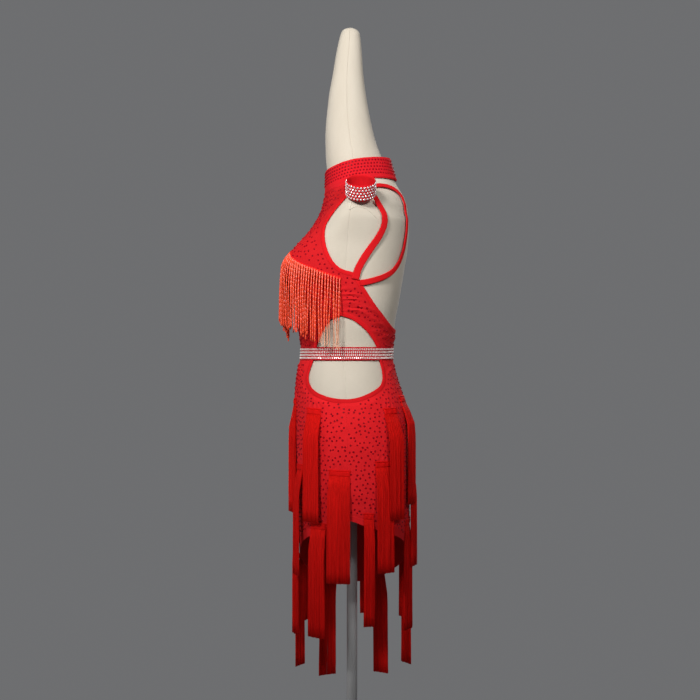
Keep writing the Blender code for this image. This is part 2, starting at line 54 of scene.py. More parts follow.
# --- The form's cover --------------------------------------------------------
# A hard torso that ends in a long neck cone, under a cream woven cover.  The
# cover is pieced: it is seamed down both sides and the middle of the front and
# back, and round the caps that close it where arms would be.
#
# A row for each level section: how far it reaches to the front and back, its
# half width, the depth of its widest line, and how square it is (2: an ellipse).
Section = namedtuple("Section", "height front back half_width middle fullness")


def rows(kind, *given):
    """A table whose rows all have this kind's named columns."""
    return [kind(*row) for row in given]


FIGURE = rows(
    Section,
    (500, -105, 103, 142, 0, 2.2), (560, -108, 109, 149, 0, 2.2),
    (640, -110.5, 115.5, 158, 2, 2.2), (700, -112.5, 119, 163, 3, 2.2),
    (765, -116, 120.5, 166, 3, 2.2), (836, -118.5, 120.5, 166, 2, 2.2),
    (889, -119.5, 119.5, 161, 0, 2.2), (916, -119.5, 115.5, 156, -2, 2.2),
    (950, -119, 105, 147, -6, 2.2), (977, -117, 96, 138, -9, 2.2),
    (1000, -113.5, 89.5, 129, -11, 2.2), (1015, -109.5, 86.5, 124, -12, 2.2),
    (1030, -107, 85.5, 121, -12, 2.2), (1048, -107.5, 87, 121.5, -12, 2.2),
    (1064, -109.3, 89, 123.3, -12, 2.2), (1080, -112, 91.5, 126, -11, 2.2),
    (1100, -116, 94, 129, -10, 2.2), (1130, -116, 100, 134, -9, 2.2),
    (1164, -115, 106, 138, -8, 2.2), (1206, -112, 113, 142, -6, 2.2),
    (1252, -101, 119.8, 148, -4, 2.2), (1290, -82, 122, 158, -3, 2.1),
    (1307, -74, 121.5, 162, -2, 2.0), (1320, -68, 120.5, 163, -2, 1.8),
    (1335, -63, 119.3, 161, 0, 1.65), (1350, -60, 115.5, 144, 2, 1.6),
    (1362, -57, 111, 122, 4, 1.6), (1374, -56, 103.5, 97, 6, 1.7), (1385, -56, 97, 76, 9, 1.8),
    (1395, -55.5, 92, 68, 10, 1.9), (1410, -55.5, 83, 62, 8, 2.0), (1441, -58, 66.5, 56, 4, 2.0),
    (1483, -59, 51, 50, -3, 2.0), (1564, -52.5, 34, 39, -9, 2.0), (1612, -44.5, 27.5, 33, -9, 2.0),
    (1700, -27.5, 20, 22.5, -4, 2.0), (1712, -21, 13, 16, -4, 2.0), (1716, -12, 4, 8, -4, 2.0),
)
CUP_CENTRE = 70           # from the middle of the front
CUP_HEIGHT = 1216
CUP_RISE = 35
CUP_HALF_WIDTH = 42
CUP_REACH_UP = 38
CUP_REACH_DOWN = 50
CUP_SHARPNESS = 3         # how fast the cups fade in from the side line


def hump(distance, width):
    """1 on a line, fading to nothing on both sides of it."""
    return np.exp(-(distance / width) ** 2)


def turned(angle):
    """An angle brought between -180 and 180."""
    return (np.asarray(angle, float) + 180) % 360 - 180


def unit(vectors):
    return vectors / np.linalg.norm(vectors, axis=-1, keepdims=True)


def curve_through(rows, column):
    """A smooth reading of one column of a table against its first, for whole arrays."""
    xs = np.array([row[0] for row in rows], float)
    ys = np.array([getattr(row, column) for row in rows], float)
    steps = np.diff(xs)
    slopes = np.diff(ys) / steps
    product, total = slopes[:-1] * slopes[1:], slopes[:-1] + slopes[1:]
    inner = np.where(product > 0, 2 * product / np.where(total == 0, 1, total), 0)
    tangents = np.concatenate(([slopes[0]], inner, [slopes[-1]]))

    def read(x):
        x = np.clip(x, xs[0], xs[-1])
        i = np.clip(np.searchsorted(xs, x, side="right") - 1, 0, len(steps) - 1)
        t = (x - xs[i]) / steps[i]
        start = (1 + 2 * t) * (1 - t) ** 2 * ys[i] + t * (1 - t) ** 2 * steps[i] * tangents[i]
        end = t * t * (3 - 2 * t) * ys[i + 1] + t * t * (t - 1) * steps[i] * tangents[i + 1]
        return start + end

    return read


FRONT, BACK, HALF_WIDTH, MIDDLE, FULLNESS = (
    curve_through(FIGURE, column) for column in Section._fields[1:]
)


def seam_line(angle, height):
    """Points on the figure's surface: angle 0 is the middle of the front, +90 the left side."""
    angle, height = np.broadcast_arrays(np.asarray(angle, float), np.asarray(height, float))
    across, ahead = np.sin(np.radians(angle)), np.cos(np.radians(angle))
    power, middle = 2 / FULLNESS(height), MIDDLE(height)
    x = HALF_WIDTH(height) * np.sign(across) * np.abs(across) ** power
    reach = np.where(ahead > 0, middle - FRONT(height), BACK(height) - middle)
    y = middle - reach * np.sign(ahead) * np.abs(ahead) ** power
    rise = height - CUP_HEIGHT
    spread = np.where(rise > 0, CUP_REACH_UP, CUP_REACH_DOWN)
    sideways = (np.abs(x) - CUP_CENTRE) / CUP_HALF_WIDTH
    swell = CUP_RISE * np.exp(-sideways ** 2 / 2 - (rise / spread) ** 2 / 2)
    y = y - np.where(ahead > 0, swell * np.minimum(1, CUP_SHARPNESS * ahead), 0)
    return np.stack((x, y, height), axis=-1)


def outward(angle, height):
    """The figure's surface normals."""
    angle, height = np.asarray(angle, float), np.asarray(height, float)
    round_it = seam_line(angle + 1, height) - seam_line(angle - 1, height)
    up_it = seam_line(angle, height + 2) - seam_line(angle, height - 2)
    return unit(np.cross(round_it, up_it))


def figure_points(angle, height, out=0.0):
    """Points that stand out from the figure by so many millimetres."""
    out = np.asarray(out, float)
    return seam_line(angle, height) + out[..., None] * outward(angle, height)


UV_RADIUS = 140           # the round-the-figure side of a UV map is unrolled at this radius


def spread_uv(mesh, layer, unrolled):
    """Gives each corner of a mesh its point's place on the unrolled cloth."""
    corner = np.empty(len(mesh.loops), int)
    mesh.loops.foreach_get("vertex_index", corner)
    layer.data.foreach_set("uv", unrolled[corner].ravel())


def lay_sheet(name, us, vs, lay, weld=False):
    """A grid laid on the figure, with lines at the given shares across and up.

    lay(u, v) gives each point's angle, height and stand-off.  The UV map is the
    cloth unrolled, in metres.
    """
    us, vs = np.asarray(us, float), np.asarray(vs, float)
    bpy.ops.mesh.primitive_grid_add(x_subdivisions=len(us) - 1, y_subdivisions=len(vs) - 1, size=1)
    sheet = bpy.context.object
    sheet.name = sheet.data.name = name
    mesh = sheet.data
    flat = np.empty(len(mesh.vertices) * 3)
    mesh.vertices.foreach_get("co", flat)
    flat = flat.reshape(-1, 3) + 0.5
    u = us[np.rint(flat[:, 0] * (len(us) - 1)).astype(int)]
    v = vs[np.rint(flat[:, 1] * (len(vs) - 1)).astype(int)]
    angle, height, out = np.broadcast_arrays(*lay(u, v))
    mesh.vertices.foreach_set("co", (figure_points(angle, height, out) * MM).ravel())
    unrolled = np.stack((np.radians(angle) * UV_RADIUS, height), axis=-1) * MM
    spread_uv(mesh, mesh.uv_layers[0], unrolled)
    if weld:
        bpy.ops.object.mode_set(mode="EDIT")
        bpy.ops.mesh.select_all(action="SELECT")
        bpy.ops.mesh.remove_doubles(threshold=0.00001)
        bpy.ops.object.mode_set(mode="OBJECT")
    mesh.update()
    return sheet


def evenly(count):
    return np.linspace(0, 1, count + 1)


def stretches(*given):
    """Lines of a mesh in several stretches: each is where it starts and ends, and how many."""
    return np.concatenate([np.linspace(*stretch) for stretch in given])


def smooth_below(degrees):
    """Shades the active piece smooth, but for edges sharper than this."""
    bpy.ops.object.shade_smooth_by_angle(angle=math.radians(degrees))


def node_output(tree, kind, output, **settings):
    """One output of a new node; a setting that is another node's output is linked in."""
    node = tree.nodes.new(kind)
    for name, value in settings.items():
        socket = node.inputs.get(name.replace("_", " "))
        if isinstance(value, bpy.types.NodeSocket):
            tree.links.new(value, socket)
        elif socket:
            socket.default_value = value
        else:
            setattr(node, name, value)
    return node.outputs[output]


def object_place(tree):
    return node_output(tree, "ShaderNodeTexCoord", "Object")


def cloth_place(tree):
    return node_output(tree, "ShaderNodeUVMap", "UV", uv_map="UVMap")


def new_finish(name, colour, roughness, **sockets):
    """A named material with its shader's own sockets set."""
    material = bpy.data.materials.new(name)
    material.use_nodes = True
    material.diffuse_color = (*colour, 1)
    shader = material.node_tree.nodes["Principled BSDF"]
    shader.inputs["Base Color"].default_value = (*colour, 1)
    shader.inputs["Roughness"].default_value = roughness
    for socket, value in sockets.items():
        shader.inputs[socket.replace("_", " ")].default_value = value
    return material, material.node_tree, shader


def tone(tree, shader, dark, light, factor):
    """Colours the shader between two tones by a 0 to 1 output."""
    mixed = node_output(tree, "ShaderNodeMix", "Result", data_type="RGBA", A=(*dark, 1),
                        B=(*light, 1), Factor=factor)
    tree.links.new(mixed, shader.inputs["Base Color"])
    return mixed


def raise_by(tree, shader, height, strength, distance):
    normal = node_output(tree, "ShaderNodeBump", "Normal", Strength=strength, Distance=distance,
                         Height=height)
    tree.links.new(normal, shader.inputs["Normal"])


def scaled(tree, source, scale):
    """A coordinate output multiplied by (x, y, z)."""
    return node_output(tree, "ShaderNodeMapping", "Vector", Scale=scale, Vector=source)


def noise(tree, vector, detail, roughness=0.5):
    return node_output(tree, "ShaderNodeTexNoise", "Fac", Scale=1.0, Detail=detail,
                       Roughness=roughness, Vector=vector)


def together(tree, operation, a, b):
    node = tree.nodes.new("ShaderNodeMath")
    node.operation = operation
    for value, socket in zip((a, b), node.inputs):
        if isinstance(value, bpy.types.NodeSocket):
            tree.links.new(value, socket)
        else:
            socket.default_value = value
    return node.outputs["Value"]


def blended(tree, a, b, share):
    """Two 0 to 1 outputs added, with this share given to the first."""
    return together(tree, "ADD", together(tree, "MULTIPLY", a, share),
                    together(tree, "MULTIPLY", b, 1 - share))


def ribbing(tree, vector, axis, pitch):
    """Fine parallel ridges, 0 to 1, at a pitch in millimetres."""
    return node_output(tree, "ShaderNodeTexWave", "Fac", wave_type="BANDS", bands_direction=axis,
                       Scale=2 * math.pi / 20 / (pitch * MM), Distortion=0.6, Detail_Scale=0.4,
                       Vector=vector)


def cover_cloth():
    """Cream plain weave, a little soiled and slubbed."""
    material, tree, shader = new_finish("cream woven cover", (0.52, 0.46, 0.38), 0.85,
                                        Sheen_Weight=0.15, Sheen_Roughness=0.5)
    uv = cloth_place(tree)
    slub = noise(tree, scaled(tree, uv, (90, 900, 1)), detail=3)
    patch = noise(tree, scaled(tree, uv, (9, 9, 1)), detail=3)
    tone(tree, shader, (0.44, 0.383, 0.298), (0.60, 0.54, 0.452), blended(tree, slub, patch, 0.35))
    weave = together(tree, "MULTIPLY", ribbing(tree, uv, "X", 0.9), ribbing(tree, uv, "Y", 0.9))
    raise_by(tree, shader, together(tree, "ADD", weave, slub), 0.35, 0.0003)
    return material


FORM_CLEARANCE = 3.2      # from the cloth's seam line in to the form
FORM_BOTTOM = 750
SEAM_SINK = 0.7           # how deep the cover's seams are drawn in
SEAM_WIDTH = 1.3
DEGREE = 2.4              # about how far one degree round the form is
FORM_SEAMS = (0, 88, 180, 272)
SEAM_LINES = (-1.1, -0.55, 0, 0.55, 1.1)    # degrees to the mesh's lines at a seam
NECK_ROUNDING = 1692      # above this the neck's top is rounded off
NECK_TOP = FIGURE[-1].height
COVER = cover_cloth()

seam_shares = [(seam + step) / 360 % 1 for seam in FORM_SEAMS for step in SEAM_LINES]
form_shares = sorted(set(np.round([*evenly(110), *seam_shares], 6)))
form_levels = stretches((FORM_BOTTOM, NECK_ROUNDING, 190), (NECK_ROUNDING + 4, NECK_TOP, 12))


def lay_cover(u, v):
    angle, height = 360 * u, v
    sunk = sum(hump(turned(angle - seam) * DEGREE, SEAM_WIDTH) for seam in FORM_SEAMS)
    return angle, height, -FORM_CLEARANCE - SEAM_SINK * sunk


form = lay_sheet("form_cover_cloth", form_shares, form_levels, lay_cover, weld=True)
bpy.ops.object.mode_set(mode="EDIT")
bpy.ops.mesh.select_mode(type="EDGE")
bpy.ops.mesh.select_all(action="DESELECT")
bpy.ops.mesh.select_non_manifold()
bpy.ops.mesh.fill_holes(sides=0)
bpy.ops.mesh.select_all(action="SELECT")
bpy.ops.mesh.normals_make_consistent(inside=False)
bpy.ops.object.mode_set(mode="OBJECT")
smooth_below(60)
form.data.materials.append(COVER)
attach(form, "root")
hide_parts("form_body")


# --- The stand ---------------------------------------------------------------
# A round steel base plate with a rolled rim, a steel pole, and the flange that
# the torso is screwed to.  All are enamelled in a light satin grey.
BASE_RADIUS = 210
BASE_THICKNESS = 9
POLE_RADIUS = 11
FLANGE_RADIUS = 38
FLANGE_THICKNESS = 6
SEAT_GAP = 0.3            # between two pieces that touch


def satin_enamel():
    material, tree, shader = new_finish("light grey satin enamel", (0.48, 0.48, 0.48), 0.42,
                                        Coat_Weight=0.25, Coat_Roughness=0.3)
    place = object_place(tree)
    orange_peel = noise(tree, scaled(tree, place, (600, 600, 600)), detail=2)
    cloud = noise(tree, scaled(tree, place, (12, 12, 12)), detail=4)
    tone(tree, shader, (0.45, 0.45, 0.45), (0.51, 0.51, 0.51), cloud)
    raise_by(tree, shader, orange_peel, 0.12, 0.0002)
    return material


def turned_disc(name, radius, bottom, top, rim, sides):
    """A flat disc or a rod whose two rims are rounded off."""
    bpy.ops.mesh.primitive_cylinder_add(vertices=sides, radius=radius * MM,
                                        depth=(top - bottom) * MM,
                                        location=(0, 0, (top + bottom) / 2 * MM))
    disc = bpy.context.object
    disc.name = disc.data.name = name
    bpy.ops.object.transform_apply(location=True)
    bpy.ops.object.mode_set(mode="EDIT")
    bpy.ops.mesh.select_mode(type="FACE")
    bpy.ops.mesh.select_all(action="DESELECT")
    bpy.ops.object.mode_set(mode="OBJECT")
    for face in disc.data.polygons:
        face.select = abs(face.normal.z) > 0.9
    bpy.ops.object.mode_set(mode="EDIT")
    bpy.ops.mesh.region_to_loop()
    bpy.ops.mesh.bevel(offset=rim * MM, segments=4, affect="EDGES")
    bpy.ops.object.mode_set(mode="OBJECT")
    smooth_below(35)
    disc.data.materials.append(ENAMEL)
    return disc


ENAMEL = satin_enamel()
flange_top = FORM_BOTTOM - SEAT_GAP
flange_bottom = flange_top - FLANGE_THICKNESS
pole_bottom, pole_top = BASE_THICKNESS + SEAT_GAP, flange_bottom - SEAT_GAP
base = turned_disc("base_plate", BASE_RADIUS, 0, BASE_THICKNESS, rim=3, sides=128)
pole = turned_disc("pole_tube", POLE_RADIUS, pole_bottom, pole_top, rim=0.8, sides=48)
flange = turned_disc("flange_plate", FLANGE_RADIUS, flange_bottom, flange_top, rim=1.2, sides=64)
for piece, node in ((base, "stand_base"), (pole, "stand_pole"), (flange, "stand_flange")):
    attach(piece, "root")
    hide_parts(node)


# --- Bodice ------------------------------------------------------------------
# A halter front and a low back band in matt red stretch jersey, joined at the
# side seams and creased round the ribs.  Cut-outs open both sides from under
# the bust to the hip, and the armholes run on into the open back.
CLOTH = 1.6
SEAM = 0.3                # gap between two pieces sewn edge to edge
SIDE_SEAM = 86            # degrees round from the middle of the front
SEAM_RADIUS = 142         # about how far a side seam lies from the dress's axis
BELT_BOTTOM = 1017
BELT_TOP = 1044
BACK_BAND_TOP = 1206      # level that the bodice back is cut from
CUTTER_REACH = 400        # half length of a cutter, across the dress

Band = namedtuple("Band", "angle lower upper")
COLLAR = rows(
    Band,
    (0, 1361, 1411), (15, 1363, 1413), (48, 1371, 1420.5), (70, 1380, 1427), (91, 1387, 1432),
    (115, 1393, 1435), (136, 1394, 1436), (180, 1392, 1435),
)
# the outlines cut through the dress from side to side: depth, from the front
# (minus) to the back, and height
Corner = namedtuple("Corner", "depth height")
SIDE_CUT_OUT = rows(
    Corner,
    (-22, 1107), (-45, 1098), (-61, 1074.5), (-73.5, 1044), (-80, 1017), (-87, 997), (-90, 981),
    (-86.5, 967), (-77, 956), (-60.5, 947.5), (-40, 941.7), (-14, 939.3), (10, 942), (32, 949.6),
    (50, 959.5), (59.6, 969), (63, 981), (62, 997), (57, 1017), (51, 1044), (36, 1068.5),
    (20, 1085.5), (0, 1099.5),
)
ARMHOLE = rows(
    Corner,
    (14, 1400), (12, 1386), (6, 1373), (0, 1361), (-9.5, 1348.5), (-21.5, 1334.5), (-37, 1317),
    (-48.5, 1300), (-54.5, 1288), (-56.5, 1274), (-55.5, 1259), (-52, 1244), (-46, 1229),
    (-37, 1214), (-25, 1203), (-12, 1197.5),
)
UNDERARM = rows(Corner, (0, 1194.5), (8, 1189.5), (16, 1177))
OPEN_BACK = rows(
    Corner,
    (30, 1155), (46, 1131), (61, 1112), (73.5, 1096.5), (86, 1083), (100, 1076),
)
BEHIND = rows(Corner, (200, 1076), (200, 1400))

# creases: the middle of each, its length, its slope from level, its width, and
# how far it stands out; they are the same on both sides but for a small shift
Crease = namedtuple("Crease", "angle height length slope width rise")
RIB_CREASES = rows(
    Crease,
    (90, 1150, 44, 2, 3.0, 2.2), (94, 1141, 52, -5, 2.8, 2.6), (99, 1132, 54, -8, 2.8, 2.4),
    (104, 1124, 48, -10, 2.6, 2.6), (107, 1116, 56, -12, 2.8, 2.8), (113, 1108, 50, -14, 2.6, 2.4),
    (118, 1119, 34, -20, 2.4, 1.8), (120, 1100, 48, -12, 2.8, 2.4), (127, 1092, 42, -9, 2.8, 2.0),
    (84, 1160, 34, 10, 2.8, 1.6), (97, 1118, 40, -4, 2.6, 1.8), (125, 1076, 40, -5, 3.0, 1.6),
    (142, 1067, 44, 0, 3.2, 1.6), (170, 1062, 50, 3, 3.6, 1.1), (28, 1096, 50, 16, 4.0, 1.4),
    (20, 1079, 44, 8, 3.6, 1.3), (34, 1112, 46, 26, 4.0, 1.3), (10, 1064, 40, -4, 3.6, 1.2),
    (62, 1152, 40, 30, 4.0, 1.5), (70, 1136, 34, 24, 3.6, 1.4), (44, 1168, 40, 40, 4.6, 1.0),
    (24, 1300, 60, 62, 5.0, 0.9), (40, 1296, 50, 66, 4.6, 1.0), (12, 1330, 44, 70, 4.6, 0.8),
)
CREASE_RELIEF = 1.25      # all the rises are multiplied by this
CREASE_SHIFT = 3          # the most that one on the right is off its mirror, in degrees and up
CREASE_BEND = 0.004       # how fast a crease curves down towards its ends
TROUGH_PLACE = 1.7        # from a crease's ridge to the trough beside it, in widths
TROUGH_DEPTH = 0.5        # as a share of the ridge's rise
DEEPEST = -0.9            # no crease or pucker reaches further in than this

collar_lower = curve_through(COLLAR, "lower")
collar_upper = curve_through(COLLAR, "upper")


def creased(angle, height, creases):
    """How far creased cloth stands out at each place, on both sides of the figure."""
    angle = turned(angle)
    out = np.zeros(np.broadcast(angle, height).shape)
    for number, crease in enumerate(creases):
        for side in (1, -1):
            shift = 0 if side > 0 else CREASE_SHIFT * math.sin(5 * number)
            across = np.radians(angle * side - crease.angle - shift) * UV_RADIUS
            up = height - crease.height - shift
            lean = math.radians(crease.slope)
            along = across * math.cos(lean) + up * math.sin(lean)
            aside = up * math.cos(lean) - across * math.sin(lean) + along ** 2 * CREASE_BEND
            ridge = hump(aside, crease.width)
            trough = hump(aside - TROUGH_PLACE * crease.width, crease.width)
            fade = hump(2 * along, crease.length)
            out += CREASE_RELIEF * crease.rise * fade * (ridge - TROUGH_DEPTH * trough)
    return np.maximum(out, DEEPEST)


def smooth_route(points, steps):
    """Points along a curve through the given ones, with the same number in each stretch."""
    points = np.array(points, float)
    ends = np.concatenate((points[:1], points, points[-1:]))
    before, start, end, after = ends[:-3], ends[1:-2], ends[2:-1], ends[3:]
    t = (np.arange(steps) / steps)[None, :, None]
    before, start, end, after = (part[:, None, :] for part in (before, start, end, after))
    leaving, arriving = (end - before) / 2, (after - start) / 2
    route = ((1 + 2 * t) * (1 - t) ** 2 * start + t * (1 - t) ** 2 * leaving
             + t * t * (3 - 2 * t) * end + t * t * (t - 1) * arriving)
    return np.concatenate((route.reshape(-1, points.shape[1]), points[-1:]))


def added(name, data):
    piece = bpy.data.objects.new(name, data)
    bpy.context.scene.collection.objects.link(piece)
    return piece


def add_cutter(name, outline):
    """A flat outline seen from the side, drawn out right across the dress."""
    shape = bmesh.new()
    corners = [shape.verts.new((-CUTTER_REACH * MM, depth * MM, height * MM))
               for depth, height in outline]
    side = shape.faces.new(corners)
    drawn = bmesh.ops.extrude_face_region(shape, geom=[side])["geom"]
    far = [part for part in drawn if isinstance(part, bmesh.types.BMVert)]
    bmesh.ops.translate(shape, vec=(2 * CUTTER_REACH * MM, 0, 0), verts=far)
    bmesh.ops.recalc_face_normals(shape, faces=shape.faces)
    cutter = added(name, bpy.data.meshes.new(name))
    shape.to_mesh(cutter.data)
    shape.free()
    return cutter


def take_up(*pieces):
    """Selects these pieces alone; the first is the active one."""
    bpy.ops.object.select_all(action="DESELECT")
    for piece in pieces:
        piece.select_set(True)
    bpy.context.view_layer.objects.active = pieces[0]


def make_wall(piece, thickness, finish, cutters=()):
    """The wall grows in from its outer face, and is then cut through."""
    wall = piece.modifiers.new("wall", "SOLIDIFY")
    wall.thickness = thickness * MM
    wall.offset = -1
    for cutter in cutters:
        cut = piece.modifiers.new("cut", "BOOLEAN")
        cut.operation = "DIFFERENCE"
        cut.object = cutter
    take_up(piece)
    for modifier in list(piece.modifiers):
        bpy.ops.object.modifier_apply(modifier=modifier.name)
    piece.data.shade_smooth()
    smooth_below(50)
    piece.data.materials.append(finish)


def stretch_jersey(name, dark, light):
    """Matt red two-way jersey: fine wales, a soft bloom and slight unevenness."""
    material, tree, shader = new_finish(name, light, 0.8, Sheen_Weight=0.16, Sheen_Roughness=0.4,
                                        Sheen_Tint=(1.0, 0.09, 0.08, 1), Specular_IOR_Level=0.06)
    uv = cloth_place(tree)
    knit = together(tree, "MULTIPLY", ribbing(tree, uv, "X", 0.8), ribbing(tree, uv, "Y", 0.6))
    cloud = noise(tree, scaled(tree, uv, (28, 28, 1)), detail=3)
    grain = noise(tree, scaled(tree, uv, (900, 900, 1)), detail=2)
    tone(tree, shader, dark, light, blended(tree, cloud, grain, 0.6))
    raise_by(tree, shader, together(tree, "ADD", knit, grain), 0.4, 0.00025)
    return material


# The bodice's copy of the jersey is toned darker than the skirt's copy of the same cloth: painted
# shade.
BODICE_JERSEY_PAINTED_SHADE = stretch_jersey("red bodice jersey, painted shade", (0.46, 0.007, 0.010), (0.63, 0.014, 0.018))
cut_out_outline = smooth_route([*SIDE_CUT_OUT, SIDE_CUT_OUT[0]], 6)[:-1]
opening_edge = smooth_route([*ARMHOLE, *UNDERARM, *OPEN_BACK], 6)
opening_outline = np.concatenate((opening_edge, BEHIND))
cut_out_cutter = add_cutter("side cut-outs", cut_out_outline)
opening_cutter = add_cutter("armholes and open back", opening_outline)
top_seam = SEAM + BELT_TOP
back_start = SIDE_SEAM + math.degrees(0.5 * SEAM / SEAM_RADIUS)


def lay_bodice_front(u, v):
    angle = -SIDE_SEAM + 2 * SIDE_SEAM * u
    top = collar_lower(np.abs(angle)) - SEAM
    height = top_seam + (top - top_seam) * v
    return angle, height, creased(angle, height, RIB_CREASES)


def lay_bodice_back(u, v):
    angle = back_start + (360 - 2 * back_start) * u
    height = top_seam + (BACK_BAND_TOP - top_seam) * v
    return angle, height, creased(angle, height, RIB_CREASES)


bodice_front = lay_sheet("bodice_front_cloth", evenly(120), evenly(100), lay_bodice_front)
bodice_back = lay_sheet("bodice_back_cloth", evenly(130), evenly(52), lay_bodice_back)
for piece, node in ((bodice_front, "bodice_front"), (bodice_back, "bodice_back")):
    make_wall(piece, CLOTH, BODICE_JERSEY_PAINTED_SHADE, (cut_out_cutter, opening_cutter))
    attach(piece, "root")
    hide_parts(node)


# --- Skirt -------------------------------------------------------------------
# A short fitted skirt in the same jersey, in a front and a back, with a hem
# that drops from the left thigh to the right one and round the back.  Each
# tassel's header pulls the cloth above it into small puckers.
Hem = namedtuple("Hem", "angle height")
HEM = rows(
    Hem,
    (-180, 604), (-143, 565), (-120, 542), (-92, 530), (-60, 543), (-42, 558), (-25, 575),
    (0, 612), (25, 646), (45, 665), (65, 684), (82, 699), (100, 686), (120, 672), (140, 659),
    (160, 640), (180, 604),
)
# The tassels hang in four tiers, each clear of the heads of the tier below it.
# A row gives the angle of a tassel's middle, the level of its top, its length
# with the head, and its width.  A few hang closer in than their tier or are
# twisted, by so many degrees, so that the edge at the greater angle swings in.
Tier = namedtuple("Tier", "stand_off tassels")
Tassel = namedtuple("Tassel", "angle top length width closer twist", defaults=(0, 0))
TIERS = [
    # below the side cut-outs
    Tier(11.5, rows(
        Tassel,
        (10, 938, 236, 39, 6, 14), (52, 921, 228, 39), (130, 921, 224, 37),
        (160, 944, 222, 39, 2.5, -8), (-30, 934, 232, 39), (-72, 923, 229, 39),
        (-122, 921, 226, 39), (-154, 938, 228, 39),
    )),
    # half way down the hip
    Tier(8.2, rows(
        Tassel,
        (26, 805, 226, 37), (78, 799, 226, 42), (118, 816, 224, 37),
        (171, 812, 222, 39, 0, -13), (-50, 803, 230, 39), (-104, 798, 226, 39),
        (-136, 810, 228, 39),
    )),
    # along the short hem of the left side, and carried round above the long one
    Tier(6, rows(
        Tassel,
        (6, 674, 228, 39, 0, 17), (54, 690, 230, 42), (103, 713, 226, 20),
        (163, 690, 228, 39, 4.5, -16), (179.5, 690, 228, 37, 1),
        (-38, 684, 230, 39), (-105, 688, 231, 39), (-150, 692, 230, 39),
    )),
    # along the long hem of the right side
    Tier(9, rows(
        Tassel,
        (-13, 610, 242, 36, 6, -20), (-65.5, 560, 234, 36), (-119, 566, 234, 34),
        (-165, 612, 240, 36, 4, 20),
    )),
]
HIP_CREASES = rows(
    Crease,
    (60, 934, 60, -14, 6.0, 1.1), (88, 926, 60, 4, 6.0, 0.9), (112, 934, 50, 12, 5.0, 1.0),
    (36, 960, 50, -40, 5.0, 0.8), (20, 996, 50, -20, 4.6, 1.0), (8, 1006, 40, -6, 4.0, 0.9),
    (150, 996, 46, 18, 4.6, 0.9), (170, 1006, 40, 4, 4.0, 0.9), (70, 868, 90, 30, 9.0, 0.8),
    (96, 846, 90, -34, 9.0, 0.7), (150, 850, 90, 24, 9.0, 0.7), (40, 760, 90, 40, 9.0, 0.7),
    (100, 740, 80, -30, 8.0, 0.8), (62, 728, 60, 60, 7.0, 0.9),
)
HIP_RADIUS = 150          # of the cloth under the headers, about
PUCKER_RISE = 1.5
PUCKER_WIDTH = 3.2
PUCKER_TROUGH = 5         # from a pucker's ridge to the trough beside it
PUCKER_START = 2          # above the header
PUCKER_REACH = 12         # about how far up a pucker fades
# where along a header each pucker starts, in widths, and how far it leans as it rises
Pucker = namedtuple("Pucker", "place lean")
PUCKERS = rows(Pucker, (-0.42, 0.5), (0.05, 0.1), (0.44, -0.45))
HEM_BAND = 13             # height of the turned-up hem
HEM_STITCH_DEPTH = 0.5
HEM_STITCH_WIDTH = 1.6

hem_height = curve_through(HEM, "height")


def puckered(angle, height):
    """Small folds that fan up from both ends and the middle of each tassel's header."""
    out = np.zeros(np.broadcast(angle, height).shape)
    for tier in TIERS:
        for number, tassel in enumerate(tier.tassels):
            across = np.radians(turned(angle - tassel.angle)) * HIP_RADIUS
            up = height - tassel.top - PUCKER_START
            for place, lean in PUCKERS:
                # the sines keep any two from being alike
                line = across - place * tassel.width - lean * up * (1 + 0.3 * math.sin(number))
                fold = (hump(line, PUCKER_WIDTH)
                        - TROUGH_DEPTH * hump(line - PUCKER_TROUGH, PUCKER_WIDTH))
                reach = PUCKER_REACH + 5 * math.sin(7 * number + 9 * place)
                out += PUCKER_RISE * fold * hump(up - 3, reach) * (up > -4)
    return out


def skirt_stand_off(angle, height):
    out = creased(angle, height, HIP_CREASES) + puckered(angle, height)
    above_hem = height - hem_height(turned(angle))
    stitched = HEM_STITCH_DEPTH * hump(above_hem - HEM_BAND, HEM_STITCH_WIDTH)
    return np.maximum(out, DEEPEST) - stitched


# The skirt's copy of the same jersey is toned lighter than the bodice's: painted light where the
# lamps fall fuller on the skirt.
SKIRT_JERSEY_PAINTED_LIGHT = stretch_jersey("red skirt jersey, painted light", (0.62, 0.009, 0.013), (0.84, 0.019, 0.024))
skirt_lines = np.unique(np.round(stretches((0, 1, 113), (0.01, 0.045, 8)), 5))
for node, start, end in (("skirt_front", -SIDE_SEAM, SIDE_SEAM),
                         ("skirt_back", back_start, 360 - back_start)):

    def lay_skirt(u, v):
        angle = start + (end - start) * u
        hem = hem_height(turned(angle))
        height = hem + (BELT_BOTTOM - SEAM - hem) * v
        return angle, height, skirt_stand_off(angle, height)

    piece = lay_sheet(node + "_cloth", evenly(150), skirt_lines, lay_skirt)
    make_wall(piece, CLOTH, SKIRT_JERSEY_PAINTED_LIGHT, (cut_out_cutter,))
    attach(piece, "root")
    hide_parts(node)
for cutter in (cut_out_cutter, opening_cutter):
    bpy.data.objects.remove(cutter)


# --- Edge bindings -----------------------------------------------------------
# Strips of the same jersey folded over every cut edge and topstitched: round
# each side cut-out, and from the collar down the armhole, under the arm and
# across the low back.
BINDING_HALF_WIDTH = 4.6
BINDING_HALF_THICKNESS = 1.35
BINDING_MIDDLE = -0.8     # the middle of the cloth's own thickness
BINDING_INSET = 0.5       # how far it reaches past the cut edge
BINDING_SIDES = 12
PACE = 3.0                # between the rings of a swept strip
PRESSED = 0.55            # how flat a pressed fold is: 1 is an ellipse, 0 a rectangle


def side_angles(depth, height):
    """The angles at which the figure's left side has these depths."""
    low, high = np.full(len(depth), 20.0), np.full(len(depth), 180.0)
    for halving in range(40):
        middle = (low + high) / 2
        behind = seam_line(middle, height)[:, 1] > depth
        low, high = np.where(behind, low, middle), np.where(behind, middle, high)
    return (low + high) / 2


def run_along(route):
    """How far along a route each of its points lies."""
    return np.concatenate(([0], np.cumsum(np.linalg.norm(np.diff(route, axis=0), axis=1))))


